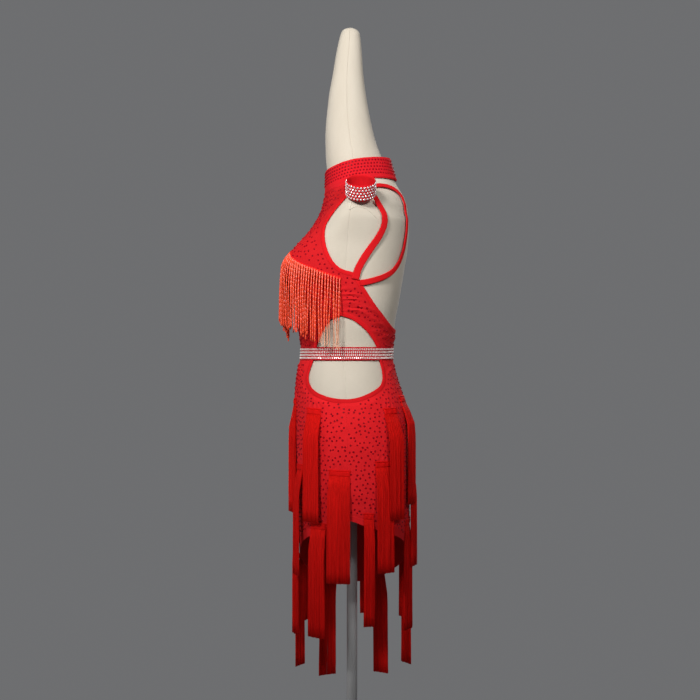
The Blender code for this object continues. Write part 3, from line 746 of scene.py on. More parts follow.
def paced(route):
    """The same route with its points about a pace apart."""
    run = run_along(route)
    stops = np.linspace(0, run[-1], max(2, round(run[-1] / PACE)) + 1)
    return np.stack([np.interp(stops, run, column) for column in route.T], axis=-1)


def swept(name, angle, height, profile, finish, closed=False, shift=0.0, lift=0.0):
    """A strip that follows a line on the figure.

    Each point of its profile is (aside, out) in millimetres; shift moves the
    whole strip aside, to the left of the way it runs, and lift moves it out.
    """
    normal = outward(angle, height)
    line = seam_line(angle, height) + np.broadcast_to(lift, angle.shape)[:, None] * normal
    if closed:
        ahead = np.roll(line, -1, axis=0) - np.roll(line, 1, axis=0)
    else:
        ahead = np.gradient(line, axis=0)
    aside = unit(np.cross(normal, ahead))
    points = np.stack([line + (across + shift) * aside + out * normal
                       for across, out in profile], axis=1)
    strip = raised_mesh(name, points, tube_faces(len(line), len(profile), closed), finish)
    set_uv_along(strip)
    return strip


def tube_faces(rings, sides, closed):
    """The faces between rings of points; a tube that doesn't close is capped."""
    faces = []
    for ring in range(rings if closed else rings - 1):
        here, there = ring * sides, (ring + 1) % rings * sides
        for i in range(sides):
            after = (i + 1) % sides
            faces.append((here + i, there + i, there + after, here + after))
    if not closed:
        faces.append(tuple(range(sides)))
        faces.append(tuple(range((rings - 1) * sides, rings * sides))[::-1])
    return faces


def meshed(name, points, faces, finish):
    """An object from points in millimetres and faces."""
    mesh = bpy.data.meshes.new(name)
    mesh.from_pydata(points.reshape(-1, 3) * MM, [], faces)
    mesh.materials.append(finish)
    return added(name, mesh)


def raised_mesh(name, points, faces, finish):
    """A closed, smooth object with its normals turned out."""
    piece = meshed(name, points, faces, finish)
    shape = bmesh.new()
    shape.from_mesh(piece.data)
    if shape.calc_volume(signed=True) < 0:
        bmesh.ops.reverse_faces(shape, faces=shape.faces)
    shape.to_mesh(piece.data)
    shape.free()
    piece.data.shade_smooth()
    return piece


def whole_turn(sides):
    return 2 * np.pi * np.arange(sides) / sides


def flat_oval(half_width, half_thickness, middle, sides):
    """A profile like a pressed fold: flat faces and round edges."""
    turn = whole_turn(sides)
    across, out = (np.sign(part) * np.abs(part) ** PRESSED for part in (np.cos(turn), np.sin(turn)))
    return list(zip(half_width * across, middle + half_thickness * out))


def set_uv_along(piece):
    """A UV map in metres of cloth, from each point's angle round the figure and level."""
    mesh = piece.data
    spots = np.empty(len(mesh.vertices) * 3)
    mesh.vertices.foreach_get("co", spots)
    spots = spots.reshape(-1, 3)
    turn = np.arctan2(spots[:, 0], -spots[:, 1])
    unrolled = np.stack((turn * UV_RADIUS * MM, spots[:, 2]), axis=-1)
    spread_uv(mesh, mesh.uv_layers.new(name="UVMap"), unrolled)


BINDING = stretch_jersey("red jersey binding", (0.50, 0.005, 0.008), (0.70, 0.012, 0.016))
profile = flat_oval(BINDING_HALF_WIDTH, BINDING_HALF_THICKNESS, BINDING_MIDDLE, BINDING_SIDES)
cut_out_line = paced(np.concatenate((cut_out_outline, cut_out_outline[:1])))[:-1]
cut_out_angles = side_angles(*cut_out_line.T)
on_figure = opening_edge[:, 0] < BACK(opening_edge[:, 1]) - SEAM
edge_angles = side_angles(*opening_edge[on_figure].T)
edge_heights = opening_edge[on_figure][:, 1]
kept = edge_heights < collar_lower(edge_angles) - 1
left_edge = np.stack((edge_angles[kept], edge_heights[kept]), axis=-1)
whole_edge = np.concatenate((left_edge, (left_edge * (-1, 1) + (360, 0))[::-1]))
unrolling = (UV_RADIUS * math.pi / 180, 1)
edge_run = paced(whole_edge * unrolling) / unrolling
for name, angle, height, closed, side in (
        ("cut_out_binding_left", cut_out_angles, cut_out_line[:, 1], True, 1),
        ("cut_out_binding_right", -cut_out_angles, cut_out_line[:, 1], True, -1),
        ("armhole_binding", *edge_run.T, False, 1)):
    piece = swept(name, angle, height, profile, BINDING, closed,
                  -side * (BINDING_HALF_WIDTH - BINDING_INSET))
    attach(piece, "root")


# --- Seams of the arm caps ---------------------------------------------------
# The form's arms are closed by flat caps in the cover cloth; only the welt of
# the seam over each cap's top shows.
CAP_SEAM = rows(
    Corner,
    (-6, 1318), (4, 1323.5), (16, 1325), (30, 1321), (43, 1311), (53, 1298), (60, 1282),
    (64, 1264),
)
WELT = flat_oval(half_width=1.0, half_thickness=0.55, middle=-FORM_CLEARANCE, sides=6)
cap_line = paced(smooth_route(CAP_SEAM, 5))
for name, side in (("cap_seam_left", 1), ("cap_seam_right", -1)):
    welt = swept(name, side_angles(*cap_line.T) * side, cap_line[:, 1], WELT, COVER)
    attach(welt, "root")


# --- Collar ------------------------------------------------------------------
# A stand collar in double jersey that leans off the nape, with a rolled lower
# edge and five rows of small dark red stones above a plain margin.
COLLAR_RISE = 0.8
COLLAR_STAND_OFF = 12     # how far its upper edge stands off the nape
COLLAR_ROWS = (5.5, 12, 18.5, 25, 31.5)     # levels of the rows, down from the upper edge
COLLAR_STONE_PITCH = 6.6
COLLAR_STONE_STRAY = 0.2
ROLL = 1.6                # height over which an edge is rolled
ROLL_DEPTH = 0.8
COLLAR_PIPING = 0.9       # how far the rolled lower edge stands out
PIPING_UP = 2.6           # from the lower edge up to its middle
PIPING_WIDTH = 1.7


def collar_levels(angle):
    turn = np.abs(turned(angle))
    return collar_lower(turn), collar_upper(turn)


def collar_stand_off(angle, height):
    low, high = collar_levels(angle)
    share = (height - low) / (high - low)
    towards_nape = (np.abs(turned(angle)) / 180) ** 2
    rolled = hump(height - low, ROLL) + hump(high - height, ROLL)
    return (COLLAR_RISE + COLLAR_STAND_OFF * towards_nape * share - ROLL_DEPTH * rolled
            + COLLAR_PIPING * hump(height - low - PIPING_UP, PIPING_WIDTH))


def lay_collar(u, v):
    angle = 360 * u
    low, high = collar_levels(angle)
    height = low + (high - low) * v
    return angle, height, collar_stand_off(angle, height)


collar_lines = stretches((0, 0.16, 10), (0.2, 0.93, 16), (0.95, 1, 4))
COLLAR_CLOTH = stretch_jersey("red collar jersey", (0.47, 0.006, 0.011), (0.66, 0.014, 0.022))
collar = lay_sheet("collar_cloth", evenly(120), collar_lines, lay_collar, weld=True)
make_wall(collar, CLOTH + COLLAR_RISE, COLLAR_CLOTH)
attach(collar, "root")
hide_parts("collar")


# --- Set stones --------------------------------------------------------------
# Flat-backed cut stones, pressed on hot: dark red ones on the cloth and clear
# ones with mirrored backs on the belt and the cuffs.
DARK_STONE_RADIUS = 2.0
CLEAR_STONE_RADIUS = 2.25
STONE_SINK = 0.1          # how far a dark stone's flat back is sunk in the cloth
CLEAR_STONE_SINK = 0.15


def cut_stone(levels, sides=8):
    """The points and faces of a stone of radius 1: each level is (radius, height, turn)."""
    turn, half = whole_turn(sides), np.pi / sides
    points = np.concatenate([
        np.stack((radius * np.cos(turn + twist * half), radius * np.sin(turn + twist * half),
                  np.full(sides, height)), axis=-1) for radius, height, twist in levels])
    faces = []
    for level in range(len(levels) - 1):
        here, above = level * sides, (level + 1) * sides
        twisted = levels[level + 1][2] - levels[level][2]
        for i in range(sides):
            after = (i + 1) % sides
            if twisted:
                faces += [(here + i, here + after, above + i),
                          (above + i, here + after, above + after)]
            else:
                faces.append((here + i, here + after, above + after, above + i))
    top = (len(levels) - 1) * sides
    faces.append(tuple(range(top, top + sides)))
    faces.append(tuple(range(sides))[::-1])
    return points, faces


def set_stones(name, stone, points, normals, radius, spin, finish):
    """One mesh of like stones, each on its point and facing along its normal."""
    template, template_faces = stone
    side = unit(np.cross(normals, (0.05, 0.03, 1.0)))
    up = np.cross(normals, side)
    turned_side = side * np.cos(spin)[:, None] + up * np.sin(spin)[:, None]
    turned_up = np.cross(normals, turned_side)
    radius = np.broadcast_to(radius, len(points))[:, None, None]
    spots = points[:, None] + radius * (
        template[:, 0:1] * turned_side[:, None] + template[:, 1:2] * turned_up[:, None]
        + template[:, 2:3] * normals[:, None])
    faces = [tuple(len(template) * i + corner for corner in face)
             for i in range(len(points)) for face in template_faces]
    stones = meshed(name, spots, faces, finish)
    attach(stones, "root")
    return stones


def stone_glass(name, colour, roughness, metallic, **sockets):
    """Cut glass: each stone a little lighter or darker than the next."""
    material, tree, shader = new_finish(name, colour, roughness, Metallic=metallic, **sockets)
    place = object_place(tree)
    fleck = noise(tree, scaled(tree, place, (260, 260, 260)), detail=1)
    dark = tuple(0.55 * part for part in colour)
    light = tuple(min(1.0, 1.35 * part) for part in colour)
    tone(tree, shader, dark, light, fleck)
    return material


DARK_STONE = cut_stone([(1, 0, 0), (0.98, 0.25, 0), (0.55, 0.72, 0)])
CLEAR_STONE = cut_stone([(1, 0, 0), (1, 0.22, 0), (0.82, 0.5, 1), (0.5, 0.72, 2)])
DARK_GLASS = stone_glass("dark red cut glass", (0.27, 0.0015, 0.009), 0.4, 0.0,
                         Specular_IOR_Level=0.08)
CLEAR_GLASS = stone_glass("clear foiled glass", (0.95, 0.86, 0.86), 0.2, 0.4)
BELT_GLASS = stone_glass("pale pink foiled glass", (0.95, 0.70, 0.66), 0.24, 0.3)


def spaced_round(height_at, pitch, start=0.0):
    """Angles a pitch apart along a line round the figure."""
    sample = np.linspace(start, start + 360, 721)
    run = run_along(seam_line(sample, height_at(sample)))
    count = max(1, round(run[-1] / pitch))
    return np.interp(np.arange(count) * run[-1] / count, run, sample)


def stone_rows(lines, pitch):
    """Angles and heights of stones a pitch apart along lines round the figure."""
    angles = [spaced_round(height_at, pitch) for height_at in lines]
    heights = [height_at(angle) for height_at, angle in zip(lines, angles)]
    return np.concatenate(angles), np.concatenate(heights)


chance = np.random.default_rng(11)
angle, height = stone_rows([lambda angle, drop=drop: collar_levels(angle)[1] - drop
                            for drop in COLLAR_ROWS], COLLAR_STONE_PITCH)
height = height + chance.normal(0, COLLAR_STONE_STRAY, len(height))
collar_stones = set_stones(
    "collar_stones", DARK_STONE,
    figure_points(angle, height, collar_stand_off(angle, height) - STONE_SINK),
    outward(angle, height), DARK_STONE_RADIUS, chance.uniform(0, 1, len(angle)), DARK_GLASS)


def inside(depth, height, outline):
    """Whether places lie within a closed outline seen from the side."""
    start, end = outline[:, :, None], np.roll(outline, -1, axis=0)[:, :, None]
    crosses = (start[:, 1] > height) != (end[:, 1] > height)
    rise = np.where(end[:, 1] == start[:, 1], 1, end[:, 1] - start[:, 1])
    meets = start[:, 0] + (height - start[:, 1]) / rise * (end[:, 0] - start[:, 0])
    return (crosses & (depth < meets)).sum(axis=0) % 2 == 1


def gap_to(depth, height, line):
    """The least distance from each place to a line seen from the side."""
    return np.min(np.hypot(depth[None] - line[:, :1], height[None] - line[:, 1:]), axis=0)


def scattered(low, high):
    """Uneven rows of places all round the figure, between two levels."""
    angles, heights = [], []
    for row, height in enumerate(np.arange(low, high, STONE_PITCH * ROW_PITCH)):
        along = spaced_round(lambda angle: np.full_like(angle, height), STONE_PITCH, -180)
        half_step = 0.5 * STONE_PITCH / UV_RADIUS
        angles.append(along + math.degrees((row % 2) * half_step))
        heights.append(np.full(len(along), height))
    angle, height = np.concatenate(angles), np.concatenate(heights)
    stray = STONE_STRAY * STONE_PITCH
    angle = angle + np.degrees(chance.normal(0, stray, len(angle)) / UV_RADIUS)
    return angle, height + chance.normal(0, stray, len(height))


def under_a_header(angle, height):
    covered = np.zeros(len(angle), bool)
    for tier in TIERS:
        for tassel in tier.tassels:
            across = np.abs(np.radians(turned(angle - tassel.angle)) * TIER_RADIUS)
            up = height - tassel.top
            covered |= ((across < tassel.width / 2 + HEADER_MARGIN) & (up < HEADER_MARGIN)
                        & (up > -HEADER_DEPTH - HEADER_MARGIN))
    return covered


def set_on_cloth(part, angle, height, free, stand_off):
    """Sets the free places of a front and a back, but for their seams and cut edges."""
    around, depth = np.abs(turned(angle)), seam_line(angle, height)[:, 1]
    free = free & ~inside(depth, height, cut_out_outline)
    free &= gap_to(depth, height, cut_out_line) > EDGE_MARGIN
    free &= np.abs(around - SIDE_SEAM) > SEAM_MARGIN
    for side, on_side in (("front", around < SIDE_SEAM), ("back", around >= SIDE_SEAM)):
        name, a, h = f"{part}_{side}_stones", angle[free & on_side], height[free & on_side]
        set_stones(
            name, DARK_STONE, figure_points(a, h, stand_off(a, h) - STONE_SINK), outward(a, h),
            DARK_STONE_RADIUS * chance.uniform(0.9, 1.1, len(a)), chance.uniform(0, 1, len(a)),
            DARK_GLASS)


STONE_PITCH = 11
ROW_PITCH = 0.86          # from row to row, as a share of the pitch along a row
STONE_STRAY = 0.17        # how far a stone strays from its place, as a share of the pitch
EDGE_MARGIN = 10.5        # from a cut edge in to the nearest stones
SEAM_MARGIN = 1.2         # degrees on each side of a side seam
BAND_MARGIN = 4           # from the collar, the belt or the band's upper edge
TIER_RADIUS = 155         # of the headers themselves, about
HEADER_DEPTH = 16
HEADER_MARGIN = 2.5
# the part of the bust that the fringe covers, where a share is left out
FRINGED_ANGLE, FRINGED_MIDDLE, FRINGED_REACH, LEFT_OUT = 62, 1240, 55, 0.35

lowest_hem = min(row.height for row in HEM)
angle, height = scattered(lowest_hem + HEM_BAND, BELT_BOTTOM - BAND_MARGIN)
free = (height > hem_height(turned(angle)) + HEM_BAND + 3) & (height < BELT_BOTTOM - BAND_MARGIN)
set_on_cloth("skirt", angle, height, free & ~under_a_header(angle, height), skirt_stand_off)

angle, height = scattered(BELT_TOP + 6, COLLAR[-1].lower)
around, depth = np.abs(turned(angle)), seam_line(angle, height)[:, 1]
free = height < collar_lower(around) - BAND_MARGIN
free &= (around < SIDE_SEAM) | (height < BACK_BAND_TOP - BAND_MARGIN)
free &= ~inside(depth, height, opening_outline)
free &= gap_to(depth, height, paced(opening_edge)) > EDGE_MARGIN
free &= ((around > FRINGED_ANGLE) | (np.abs(height - FRINGED_MIDDLE) > FRINGED_REACH)
         | (chance.uniform(0, 1, len(angle)) > LEFT_OUT))
set_on_cloth("bodice", angle, height, free,
             lambda angle, height: creased(angle, height, RIB_CREASES))


# --- Belt --------------------------------------------------------------------
# A firm red band over the waist seam, closely set with four rows of clear
# stones between two plain rims.
BELT_RISE = 1.0           # how far the belt stands proud of the cloth
BELT_ROWS = (4.6, 10.5, 16.4, 22.3)         # levels of the rows, up from the lower edge
BELT_PITCH = 4.0
BELT_STONE_TURN = 0.05    # how unevenly they are turned, in radians
OBLONG_HALF_WIDTH = 1.2
OBLONG_HALF_HEIGHT = 1.95
BELT_ROLL = 0.9           # height over which its edges are rolled
BELT_ROLL_DEPTH = 0.7


def lay_belt(u, v):
    height = BELT_BOTTOM + (BELT_TOP - BELT_BOTTOM) * v
    rim = hump(height - BELT_BOTTOM, BELT_ROLL) + hump(BELT_TOP - height, BELT_ROLL)
    return 360 * u, height, BELT_RISE - BELT_ROLL_DEPTH * rim


BELT_CLOTH = stretch_jersey("red belt band", (0.34, 0.005, 0.010), (0.50, 0.012, 0.022))
belt_lines = stretches((0, 0.08, 5), (0.15, 0.85, 8), (0.92, 1, 5))
belt = lay_sheet("belt_band", evenly(120), belt_lines, lay_belt, weld=True)
make_wall(belt, CLOTH + BELT_RISE, BELT_CLOTH)
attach(belt, "root")
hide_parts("belt")
angle, height = stone_rows([lambda angle, up=up: np.full_like(angle, BELT_BOTTOM + up)
                            for up in BELT_ROWS], BELT_PITCH)
square, oblong_faces = cut_stone([(1.414, 0, 1), (1.414, 0.3, 1), (0.8, 0.65, 1)], sides=4)
oblong = square * (OBLONG_HALF_WIDTH / OBLONG_HALF_HEIGHT, 1, 0.8)
belt_stones = set_stones(
    "belt_stones", (oblong, oblong_faces),
    figure_points(angle, height, BELT_RISE - CLEAR_STONE_SINK), outward(angle, height),
    OBLONG_HALF_HEIGHT, chance.normal(0, BELT_STONE_TURN, len(angle)), BELT_GLASS)


# --- Straps ------------------------------------------------------------------
# Rouleau straps of folded jersey.  On each side one runs from the underarm up
# over the shoulder blade to the cuff, and one from the same place further round
# the back, over the top of the shoulder.
STRAP_SIDE_WIDTH = 15
STRAP_BACK_WIDTH = 12
STRAP_HALF_THICKNESS = 1.1
STRAP_END_LIFT = 6.5      # how far the side strap's end leaves the shoulder to meet the cuff
STRAP_LEAD = 24           # length over which it leaves
STRAP_MIDDLE = 1.5        # how far its middle stands out from the figure
STRAP_SIDE = rows(
    Corner,
    (6.5, 1180), (9.5, 1193), (14, 1205), (23.5, 1222), (36, 1241), (50, 1261), (60.5, 1280),
    (64.8, 1295.5), (64, 1310), (57.5, 1323.5), (49, 1334.5), (42, 1341),
)
Turn = namedtuple("Turn", "across height")
STRAP_BACK = rows(
    Turn,
    (137, 1173), (127, 1180), (113, 1189), (97, 1202), (84, 1221), (76, 1245), (71, 1270),
    (65, 1297), (56, 1322), (47, 1343), (44, 1359), (52, 1370), (66, 1375), (82, 1374), (99, 1369),
    (118.5, 1360),
)


def back_angles(across, height):
    """The angles at which the figure's back lies this far from its middle."""
    share = (across / HALF_WIDTH(height)) ** (FULLNESS(height) / 2)
    return 180 - np.degrees(np.arcsin(share))


for kind, turns, find_angles, width, end_lift in (
        ("side", STRAP_SIDE, side_angles, STRAP_SIDE_WIDTH, STRAP_END_LIFT),
        ("back", STRAP_BACK, back_angles, STRAP_BACK_WIDTH, 0)):
    route = paced(smooth_route(turns, 6))
    to_go = PACE * np.arange(len(route))[::-1]
    lift = end_lift * np.clip(1 - to_go / STRAP_LEAD, 0, 1) ** 2
    fold = flat_oval(width / 2, STRAP_HALF_THICKNESS, STRAP_MIDDLE, 14)
    for side_name, side in (("left", 1), ("right", -1)):
        strap = swept(f"strap_{kind}_{side_name}_rouleau", find_angles(*route.T) * side,
                      route[:, 1], fold, BINDING, lift=lift)
        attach(strap, "root")
        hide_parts(f"strap_{kind}_{side_name}")


# --- Shoulder cuffs ----------------------------------------------------------
# Stiffened jersey rings that sit on the shoulders, their axes leaning outward,
# set all round with five staggered rows of clear stones.
CUFF_RADIUS = 29.5
CUFF_HEIGHT = 34
CUFF_WALL = 2
CUFF_TILT = 31            # degrees that its axis leans out from upright
CUFF_TOP = Vector((162.5, 17.5, 1376.9))
CUFF_SIDES = 96
CUFF_ROWS = 5
CUFF_ROW_PITCH = 6.2
CUFF_STONES_ROUND = 27
CUFF_SWELL = 0.5          # how much its outside swells between the rolled edges
CUFF_ROLL = 0.6


def cuff_profile():
    """Radius and level of a rolled band's wall, up the outside and down the inside."""
    def level(share):
        return -CUFF_HEIGHT * (1 - share) + CUFF_ROLL * (1 - 2 * share)

    middle = CUFF_RADIUS - 0.5 * CUFF_WALL
    swollen = [(CUFF_RADIUS - CUFF_SWELL + CUFF_SWELL * math.sin(math.pi * share) ** 0.5,
                level(share)) for share in np.linspace(0, 1, 9)]
    inner = [(CUFF_RADIUS - CUFF_WALL + 0.1, level(share)) for share in np.linspace(1, 0, 7)]
    return [*swollen, (middle, 0), *inner, (middle, -CUFF_HEIGHT)]


CUFF_CLOTH = stretch_jersey("red cuff band", (0.50, 0.005, 0.010), (0.72, 0.012, 0.018))
wall = cuff_profile()
for name, side in (("cuff_left", 1), ("cuff_right", -1)):
    points = np.array([(radius * math.cos(turn), radius * math.sin(turn), level)
                       for turn in whole_turn(CUFF_SIDES) for radius, level in wall])
    lean = np.array(Matrix.Rotation(math.radians(CUFF_TILT * side), 3, "Y"))
    top = np.array((CUFF_TOP.x * side, CUFF_TOP.y, CUFF_TOP.z))
    cuff = raised_mesh(name + "_band", points @ lean.T + top,
                       tube_faces(CUFF_SIDES, len(wall), True), CUFF_CLOTH)
    set_uv_along(cuff)
    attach(cuff, "root")
    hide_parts(name)
    row = np.repeat(np.arange(CUFF_ROWS), CUFF_STONES_ROUND)
    turn = np.tile(np.arange(CUFF_STONES_ROUND), CUFF_ROWS) + 0.5 * (row % 2)
    turn = 2 * np.pi * turn / CUFF_STONES_ROUND
    level = -CUFF_HEIGHT / 2 + (row - (CUFF_ROWS - 1) / 2) * CUFF_ROW_PITCH
    facing = np.stack((np.cos(turn), np.sin(turn), np.zeros(len(turn))), axis=-1)
    spots = facing * (CUFF_RADIUS - CLEAR_STONE_SINK) + np.outer(level, (0, 0, 1))
    cuff_stones = set_stones(name + "_stones", CLEAR_STONE, spots @ lean.T + top, facing @ lean.T,
                             CLEAR_STONE_RADIUS, chance.uniform(0, 1, len(turn)), CLEAR_GLASS)


# --- Bust fringe -------------------------------------------------------------
# Strung orange-red beads on each side of the bust, sewn by a narrow tape along
# a line that arches over each cup.  The strands swing clear of the bust and
# end unevenly above the belt, thinner and paler where they cross the opening.
Line = namedtuple("Line", "angle height")
FRINGE_LINE = rows(
    Line,
    (2, 1206), (9, 1226), (17, 1241), (25, 1242), (35, 1229), (49, 1214), (58.5, 1206), (66, 1200),
    (74, 1193), (84.6, 1184),
)
FRINGE_STRIP = 6          # height of the tape that the strands hang from
FRINGE_THICKNESS = 1.8
FRINGE_LIFT = 0.5
FRINGE_LENGTH = 144
FRINGE_BULGE = 9          # how far the strands stand out from the bust
FRINGE_SPRING = 40        # fall over which they swing out
FRINGE_RAGS = 12          # stretches of the line over which the length wavers
FRINGE_RAGGED = (-0.05, 0.035)    # the least and most that it adds, as shares
LENGTH_STRAY = 0.022
FRINGE_SWING = 2.1        # how far a strand's end strays aside
FRINGE_WAVE = 0.7
WAVE_FALL = 19            # fall over which a strand's wave turns by one radian
WAVE_GROWTH = 60          # fall over which the wave grows to its full size
LAYERS_PART = 30          # fall over which the two layers part
OUT_STRAY = 0.7
TAPE_ROLL = 0.7           # how deep the tape's edges are rounded
BEAD_LENGTH = 8.5
BEAD_RADIUS = 1.3
BEAD_SIDES = 6
BEAD_SHOULDERS = (0.14, 0.86)     # where it is full, as shares of its length
BEAD_NECK = 0.68          # its radius at the ends, as a share of the full one
# each layer: how many strands, how much longer they are, and how far out they hang
Layer = namedtuple("Layer", "strands longer out")
FRINGE_LAYERS = [Layer(37, 0.0, 1.4), Layer(36, 0.02, -1.2)]
PLUMB_STEPS = 12          # levels tried for the widest place that a strand hangs from
OPENING_EDGE = np.array(SIDE_CUT_OUT[3::-1])      # its upper edge, from the front back
PALE_START = 3            # below that edge, where the strands begin to pale
PALE_FADE = 8             # fall over which they pale
PALE_THINNING = 0.4
# the strands shorten by a share where they hang over the middle of the cup
SHORT_PLACE, SHORT_WIDTH, SHORTENED = 0.52, 0.09, 0.075

fringe_height = curve_through(FRINGE_LINE, "height")


def hanging(angle, top, drop, out):
    """Points that hang plumb from the widest place each has passed on its way down."""
    angle, top, drop, out = (part[..., None] for part in
                             np.broadcast_arrays(angle, top, drop, out))
    level = top - drop * (np.arange(PLUMB_STEPS + 1) / PLUMB_STEPS)
    passed = figure_points(np.broadcast_to(angle, level.shape), level,
                           np.broadcast_to(out, level.shape))
    widest = np.argmax(np.hypot(passed[..., 0], passed[..., 1]), axis=-1)
    picked = np.take_along_axis(passed, widest[..., None, None], axis=-2)[..., 0, :]
    return np.concatenate((picked[..., :2], top - drop), axis=-1)


def strands_mesh(name, paths, radii, sides, finish):
    """Thin closed tubes along many paths: paths is (strand, station, xyz)."""
    count, stations = paths.shape[:2]
    ahead = unit(np.gradient(paths, axis=1))
    aside = unit(np.cross(ahead, paths * (1, 1, 0)))
    outer = np.cross(aside, ahead)
    corner = np.arange(sides)
    turn = (2 * np.pi * (corner + 0.5) / sides)[:, None]
    ring = np.cos(turn) * aside[:, :, None] + np.sin(turn) * outer[:, :, None]
    spots = paths[:, :, None] + radii[:, :, None, None] * ring
    start = np.arange(count)[:, None] * stations * sides
    below = start[..., None] + np.arange(stations - 1)[:, None] * sides
    here, after = below + corner, below + (corner + 1) % sides
    walls = np.stack((here, after, after + sides, here + sides), axis=-1).reshape(-1, 4)
    top, bottom = start + corner[::-1], start + (stations - 1) * sides + corner
    faces = walls.tolist() + top.tolist() + bottom.tolist()
    return raised_mesh(name, spots, faces, finish)


def joined(parts, name):
    """Makes one piece of several."""
    take_up(*parts)
    bpy.ops.object.join()
    parts[0].name = parts[0].data.name = name
    return parts[0]


def bead_glass():
    """Orange-red lustre beads, each a little different, darker where they meet."""
    material, tree, shader = new_finish("orange-red beads", (0.86, 0.06, 0.02), 0.34,
                                        Specular_IOR_Level=0.5)
    place = object_place(tree)
    bead = noise(tree, scaled(tree, place, (230, 230, 120)), detail=2)
    glass = tone(tree, shader, (0.60, 0.010, 0.004), (0.98, 0.12, 0.035), bead)
    paleness = node_output(tree, "ShaderNodeAttribute", "Fac", attribute_name="paleness")
    paler = node_output(tree, "ShaderNodeMix", "Result", data_type="RGBA", A=glass,
                        B=(0.70, 0.33, 0.20, 1), Factor=paleness)
    tree.links.new(paler, shader.inputs["Base Color"])
    return material


BEADS = bead_glass()
FRINGE_TAPE = stretch_jersey("red fringe tape", (0.55, 0.006, 0.009), (0.76, 0.016, 0.016))
sample = np.linspace(FRINGE_LINE[0].angle, FRINGE_LINE[-1].angle, 401)
fringe_run = run_along(seam_line(sample, fringe_height(sample)))
beads = int(FRINGE_LENGTH / BEAD_LENGTH)
# the thread's end shows below the last bead
knots = [bead + place for bead in range(beads) for place in (0, *BEAD_SHOULDERS)]
knots = np.array([*knots, beads - 0.02, beads]) / beads
bead_shape = np.array([BEAD_NECK, 1, 1] * beads + [BEAD_NECK, 0.4])
for name, side in (("fringe_left", 1), ("fringe_right", -1)):
    chance = np.random.default_rng(21 + side)

    def lay_tape(u, v):
        angle = np.interp(u * fringe_run[-1], fringe_run, sample)
        rounding = TAPE_ROLL * (hump(v, 0.12) + hump(1 - v, 0.12))
        height = fringe_height(angle) - FRINGE_STRIP * (1 - v)
        return angle * side, height, FRINGE_LIFT + FRINGE_THICKNESS - rounding

    tape = lay_sheet(name + "_tape", evenly(80)[::side], evenly(8), lay_tape)
    make_wall(tape, FRINGE_THICKNESS - 0.2, FRINGE_TAPE)
    parts = [tape]
    for layer in FRINGE_LAYERS:
        share = (np.arange(layer.strands) + 0.5) / layer.strands
        angle = np.interp(share * fringe_run[-1], fringe_run, sample)[:, None]
        ragged = np.interp(share * FRINGE_RAGS, np.arange(FRINGE_RAGS + 1),
                           chance.uniform(*FRINGE_RAGGED, FRINGE_RAGS + 1))
        short = SHORTENED * hump(share - SHORT_PLACE, SHORT_WIDTH)
        length = FRINGE_LENGTH * (1 + layer.longer + ragged - short
                                  + chance.normal(0, LENGTH_STRAY, layer.strands))
        fall = knots * length[:, None]
        fallen = fall / FRINGE_LENGTH
        swing = chance.normal(0, 1, layer.strands)[:, None] * fallen ** 1.5
        out = (FRINGE_LIFT + 1 + layer.out * np.minimum(1, fall / LAYERS_PART)
               + FRINGE_BULGE * (1 - np.exp(-fall / FRINGE_SPRING))
               + chance.normal(0, OUT_STRAY, layer.strands)[:, None] * fallen)
        wave = np.sin(fall / WAVE_FALL + chance.uniform(0, 2 * np.pi, layer.strands)[:, None])
        aside = swing * FRINGE_SWING + FRINGE_WAVE * wave * np.minimum(1, fall / WAVE_GROWTH)
        path = hanging((angle + np.degrees(aside / UV_RADIUS)) * side, fringe_height(angle) - 1.5,
                       fall, out)
        edge = np.interp(path[..., 1], *OPENING_EDGE.T, left=0)
        pale = np.clip((edge - PALE_START - path[..., 2]) / PALE_FADE, 0, 1)
        radii = (BEAD_RADIUS * bead_shape * chance.uniform(0.9, 1.06, path.shape[:2])
                 * (1 - PALE_THINNING * pale))
        strands = strands_mesh(name + "_strands", path, radii, BEAD_SIDES, BEADS)
        paleness = strands.data.attributes.new("paleness", "FLOAT", "POINT")
        paleness.data.foreach_set("value", np.repeat(pale.ravel(), BEAD_SIDES).astype(np.float32))
        parts.append(strands)
    fringe = joined(parts, name + "_beads")
    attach(fringe, "root")
    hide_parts(name)


# --- Tassels -----------------------------------------------------------------
# Panels of fine red chainette, two threads deep, each caught in a folded
# header of woven tape that is sewn to the skirt.
TASSEL_HEAD = 13
HEADER_THICKNESS = 0.9
HEADER_TILT = 1.8         # the most by which one end hangs lower
HEADER_ROLL = 1.3         # how deep its edges are rounded
HEADER_RUMPLE = 0.5
FOLD_DEPTH = 1.2
FOLD_PLACE = 0.74         # the crease under the fold, as a share of the header's height
FOLD_OVERHANG = 3.6       # how much wider the header is above its fold
TASSEL_THICKNESS = 2.6
TASSEL_LIFT = 0.5
TASSEL_SPREAD = 0.06      # how much wider it is at its end, as a share
TASSEL_BEND = 60          # fall over which the threads swing out from the skirt
THREAD_PITCH = 0.98
THREAD_RADIUS = 0.72
THREAD_STATIONS = 10
THREAD_LAYERS = (1.9, 0.7)        # how far out each layer hangs
THREAD_OVERLAP = 4        # from the threads' tops down to the header's edge
LOCKS = 14                # more than there are across the widest tassel
LOCK_WIDTHS = (3.0, 6.0)
LOCK_PARTING = 1.2        # how far outer threads fall back where two locks part
PARTING_WIDTH = 0.8
THREAD_STRAY = 0.12
THREAD_LENGTH_STRAY = 0.35
THREADS_DRAWN_IN = 1.2    # at the header, where the tape holds them
DRAWN_IN_FALL = 9
TASSEL_SWAY = 1.6         # the most that its end hangs to one side
TASSEL_WAVE = 0.7         # how far its threads hang in and out of line at the end
LOCK_SHIFT = 0.45         # how far a lock's threads lean together at the end


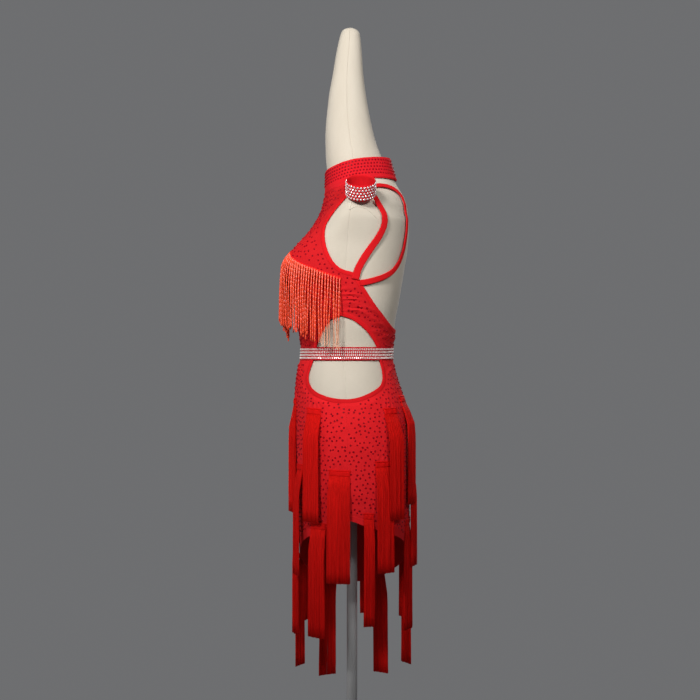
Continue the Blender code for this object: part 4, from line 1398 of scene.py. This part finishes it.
def chainette():
    """Fine looped rayon thread: silky, streaked along its length."""
    material, tree, shader = new_finish("red chainette", (0.70, 0.006, 0.008), 0.7,
                                        Specular_IOR_Level=0.05)
    place = object_place(tree)
    streak = noise(tree, scaled(tree, place, (380, 380, 8)), detail=3, roughness=0.6)
    tone(tree, shader, (0.36, 0.003, 0.002), (1.0, 0.011, 0.008), streak)
    raise_by(tree, shader, ribbing(tree, place, "Z", 1.1), 0.5, 0.0003)
    return material


def header_tape():
    material, tree, shader = new_finish("red woven header", (0.74, 0.006, 0.006), 0.75,
                                        Specular_IOR_Level=0.06)
    uv = cloth_place(tree)
    cords = ribbing(tree, uv, "X", 1.4)
    tone(tree, shader, (0.55, 0.003, 0.003), (0.86, 0.008, 0.007), cords)
    raise_by(tree, shader, cords, 0.6, 0.0004)
    return material


THREAD = chainette()
HEADER = header_tape()
hung = [(tassel, tier.stand_off) for tier in TIERS for tassel in tier.tassels]
for number, (tassel, stand_off) in enumerate(hung, start=1):
    chance = np.random.default_rng(100 + number)
    turn, top = tassel.angle, tassel.top
    one_degree = np.linalg.norm(figure_points(turn + 1, top) - figure_points(turn, top))

    def lay_header(u, v):
        rounding = HEADER_ROLL * (hump(v, 0.07) + hump(1 - v, 0.07)
                                  + hump(u, 0.03) + hump(1 - u, 0.03))
        fold = FOLD_DEPTH * hump(v - FOLD_PLACE, 0.05)
        rumple = HEADER_RUMPLE * np.sin(2 * np.pi * (u * 2.4 + 0.37 * number)) * np.sin(np.pi * v)
        out = TASSEL_LIFT + TASSEL_THICKNESS + 0.4 - np.minimum(rounding + fold, 1.9) + rumple
        tilt = HEADER_TILT * math.sin(2.3 * number) * (u - 0.5)
        width = tassel.width + FOLD_OVERHANG / (1 + np.exp((FOLD_PLACE - 0.02 - v) / 0.03))
        return turn + (u - 0.5) * width / one_degree, top - TASSEL_HEAD * (1 - v) + tilt, out

    header = lay_sheet("header", evenly(26), evenly(20), lay_header)
    make_wall(header, HEADER_THICKNESS, HEADER)
    parts = [header]
    twist = math.radians(tassel.twist)
    lock_phase, wave_phase = chance.uniform(0, 1, 2)
    locks = np.cumsum(chance.uniform(*LOCK_WIDTHS, LOCKS)) - chance.uniform(0, 5)
    threads_across = round(tassel.width / THREAD_PITCH)
    hang = np.linspace(0, 1, THREAD_STATIONS)
    for layer, layer_out in enumerate(THREAD_LAYERS):
        count = threads_across - layer
        across = ((np.arange(count) + (layer + 1) / 2) / threads_across)[:, None]
        length = tassel.length - TASSEL_HEAD + THREAD_OVERLAP
        length = length + chance.normal(0, THREAD_LENGTH_STRAY, count)
        fall = hang * length[:, None]
        swing = np.clip(fall / TASSEL_BEND, 0, 1)
        swing = swing * swing * (3 - 2 * swing)
        lock = LOCK_SHIFT * np.sin(2 * np.pi * (across * 2.6 + lock_phase)) * hang
        sway = TASSEL_SWAY * math.sin(3.1 * number) * hang ** 2
        stray = chance.normal(0, THREAD_STRAY, (count, THREAD_STATIONS)) * (hang > 0.1)
        off_middle = (across - 0.5) * tassel.width * (1 + TASSEL_SPREAD * hang)
        aside = (off_middle * np.cos(twist * swing) + lock + sway + stray) / one_degree
        nearest = np.min(np.abs(across * tassel.width - locks), axis=1)
        parted = hump(nearest, PARTING_WIDTH)[:, None] * np.minimum(1, 5 * hang) * (layer == 0)
        out = (TASSEL_LIFT + layer_out + (stand_off - tassel.closer) * swing
               - off_middle * np.sin(twist * swing) - LOCK_PARTING * parted
               - THREADS_DRAWN_IN * hump(fall, DRAWN_IN_FALL)
               + TASSEL_WAVE * np.sin(2 * np.pi * (across * 3.3 + wave_phase)) * hang
               + chance.normal(0, THREAD_STRAY, (count, THREAD_STATIONS)) * (hang > 0.1))
        path = hanging(turn + aside, top - TASSEL_HEAD + THREAD_OVERLAP, fall, out)
        radii = THREAD_RADIUS * chance.uniform(0.85, 1.1, path.shape[:2])
        parts.append(strands_mesh("threads", path, radii, 4, THREAD))
    joined(parts, f"tassel_{number:02}_chainette")
    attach(header, "root")
    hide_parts(f"tassel_{number:02}")


# --- Studio ------------------------------------------------------------------
# A plain grey floor in a pale room, two soft spots high on both sides of the
# camera, a dim soft box behind the dress and one in front of it, and a camera
# level with the waist, on the dress's left.
FLOOR_RADIUS = 1.3
FLOOR_THICKNESS = 0.02
CAMERA_PLACE = (3.2, -0.0042, 1.038)
HALF_VIEW = 0.735         # half the height that the camera takes in at the dress
SPOT_AIM = (0, 0, 1.43)
BOX_AIM = (0, 0, 1.1)
WALL_LIGHT = 0.55         # what the walls give to the dress, as a share of what is seen


def floor_paint():
    material, tree, shader = new_finish("grey floor", (0.34, 0.34, 0.34), 0.85)
    place = object_place(tree)
    cloud = noise(tree, scaled(tree, place, (3, 3, 3)), detail=3)
    tone(tree, shader, (0.31, 0.31, 0.31), (0.37, 0.37, 0.37), cloud)
    return material


bpy.ops.mesh.primitive_cylinder_add(vertices=96, radius=FLOOR_RADIUS, depth=FLOOR_THICKNESS,
                                    location=(0, 0, -FLOOR_THICKNESS / 2 - 0.0002))
floor = bpy.context.object
floor.name = "studio_floor"
floor.data.materials.append(floor_paint())

camera = added("camera", bpy.data.cameras.new("camera"))
camera.location = CAMERA_PLACE
camera.rotation_euler = (math.radians(90), 0, math.radians(90))
camera.data.angle = 2 * math.atan(HALF_VIEW / CAMERA_PLACE[0])
bpy.context.scene.camera = camera

world = bpy.data.worlds.new("studio")
bpy.context.scene.world = world
world.use_nodes = True
background = world.node_tree.nodes["Background"]
background.inputs["Color"].default_value = (0.155, 0.157, 0.162, 1)
seen = node_output(world.node_tree, "ShaderNodeLightPath", "Is Camera Ray")
world.node_tree.links.new(together(world.node_tree, "MAXIMUM", seen, WALL_LIGHT),
                          background.inputs["Strength"])


def lamp(name, kind, place, aim, power):
    light = added(name, bpy.data.lights.new(name, kind))
    light.data.energy = power
    light.location = place
    light.rotation_euler = (Vector(aim) - Vector(place)).to_track_quat("-Z", "Y").to_euler()
    return light.data


for name, place, power in (("key", (3.4, -1.3, 3.0), 690), ("fill", (3.4, 1.6, 2.8), 335)):
    spot = lamp(name, "SPOT", place, SPOT_AIM, power)
    spot.shadow_soft_size = 0.45
    spot.spot_size = math.radians(24.5)
    spot.spot_blend = 0.6
for name, place, power in (("back", (-2.6, 0.8, 2.2), 25), ("front", (0.4, -3.0, 1.8), 18)):
    box = lamp(name, "AREA", place, BOX_AIM, power)
    box.shape = "RECTANGLE"
    box.size = box.size_y = 1.6
bpy.context.scene.view_settings.view_transform = "Standard"
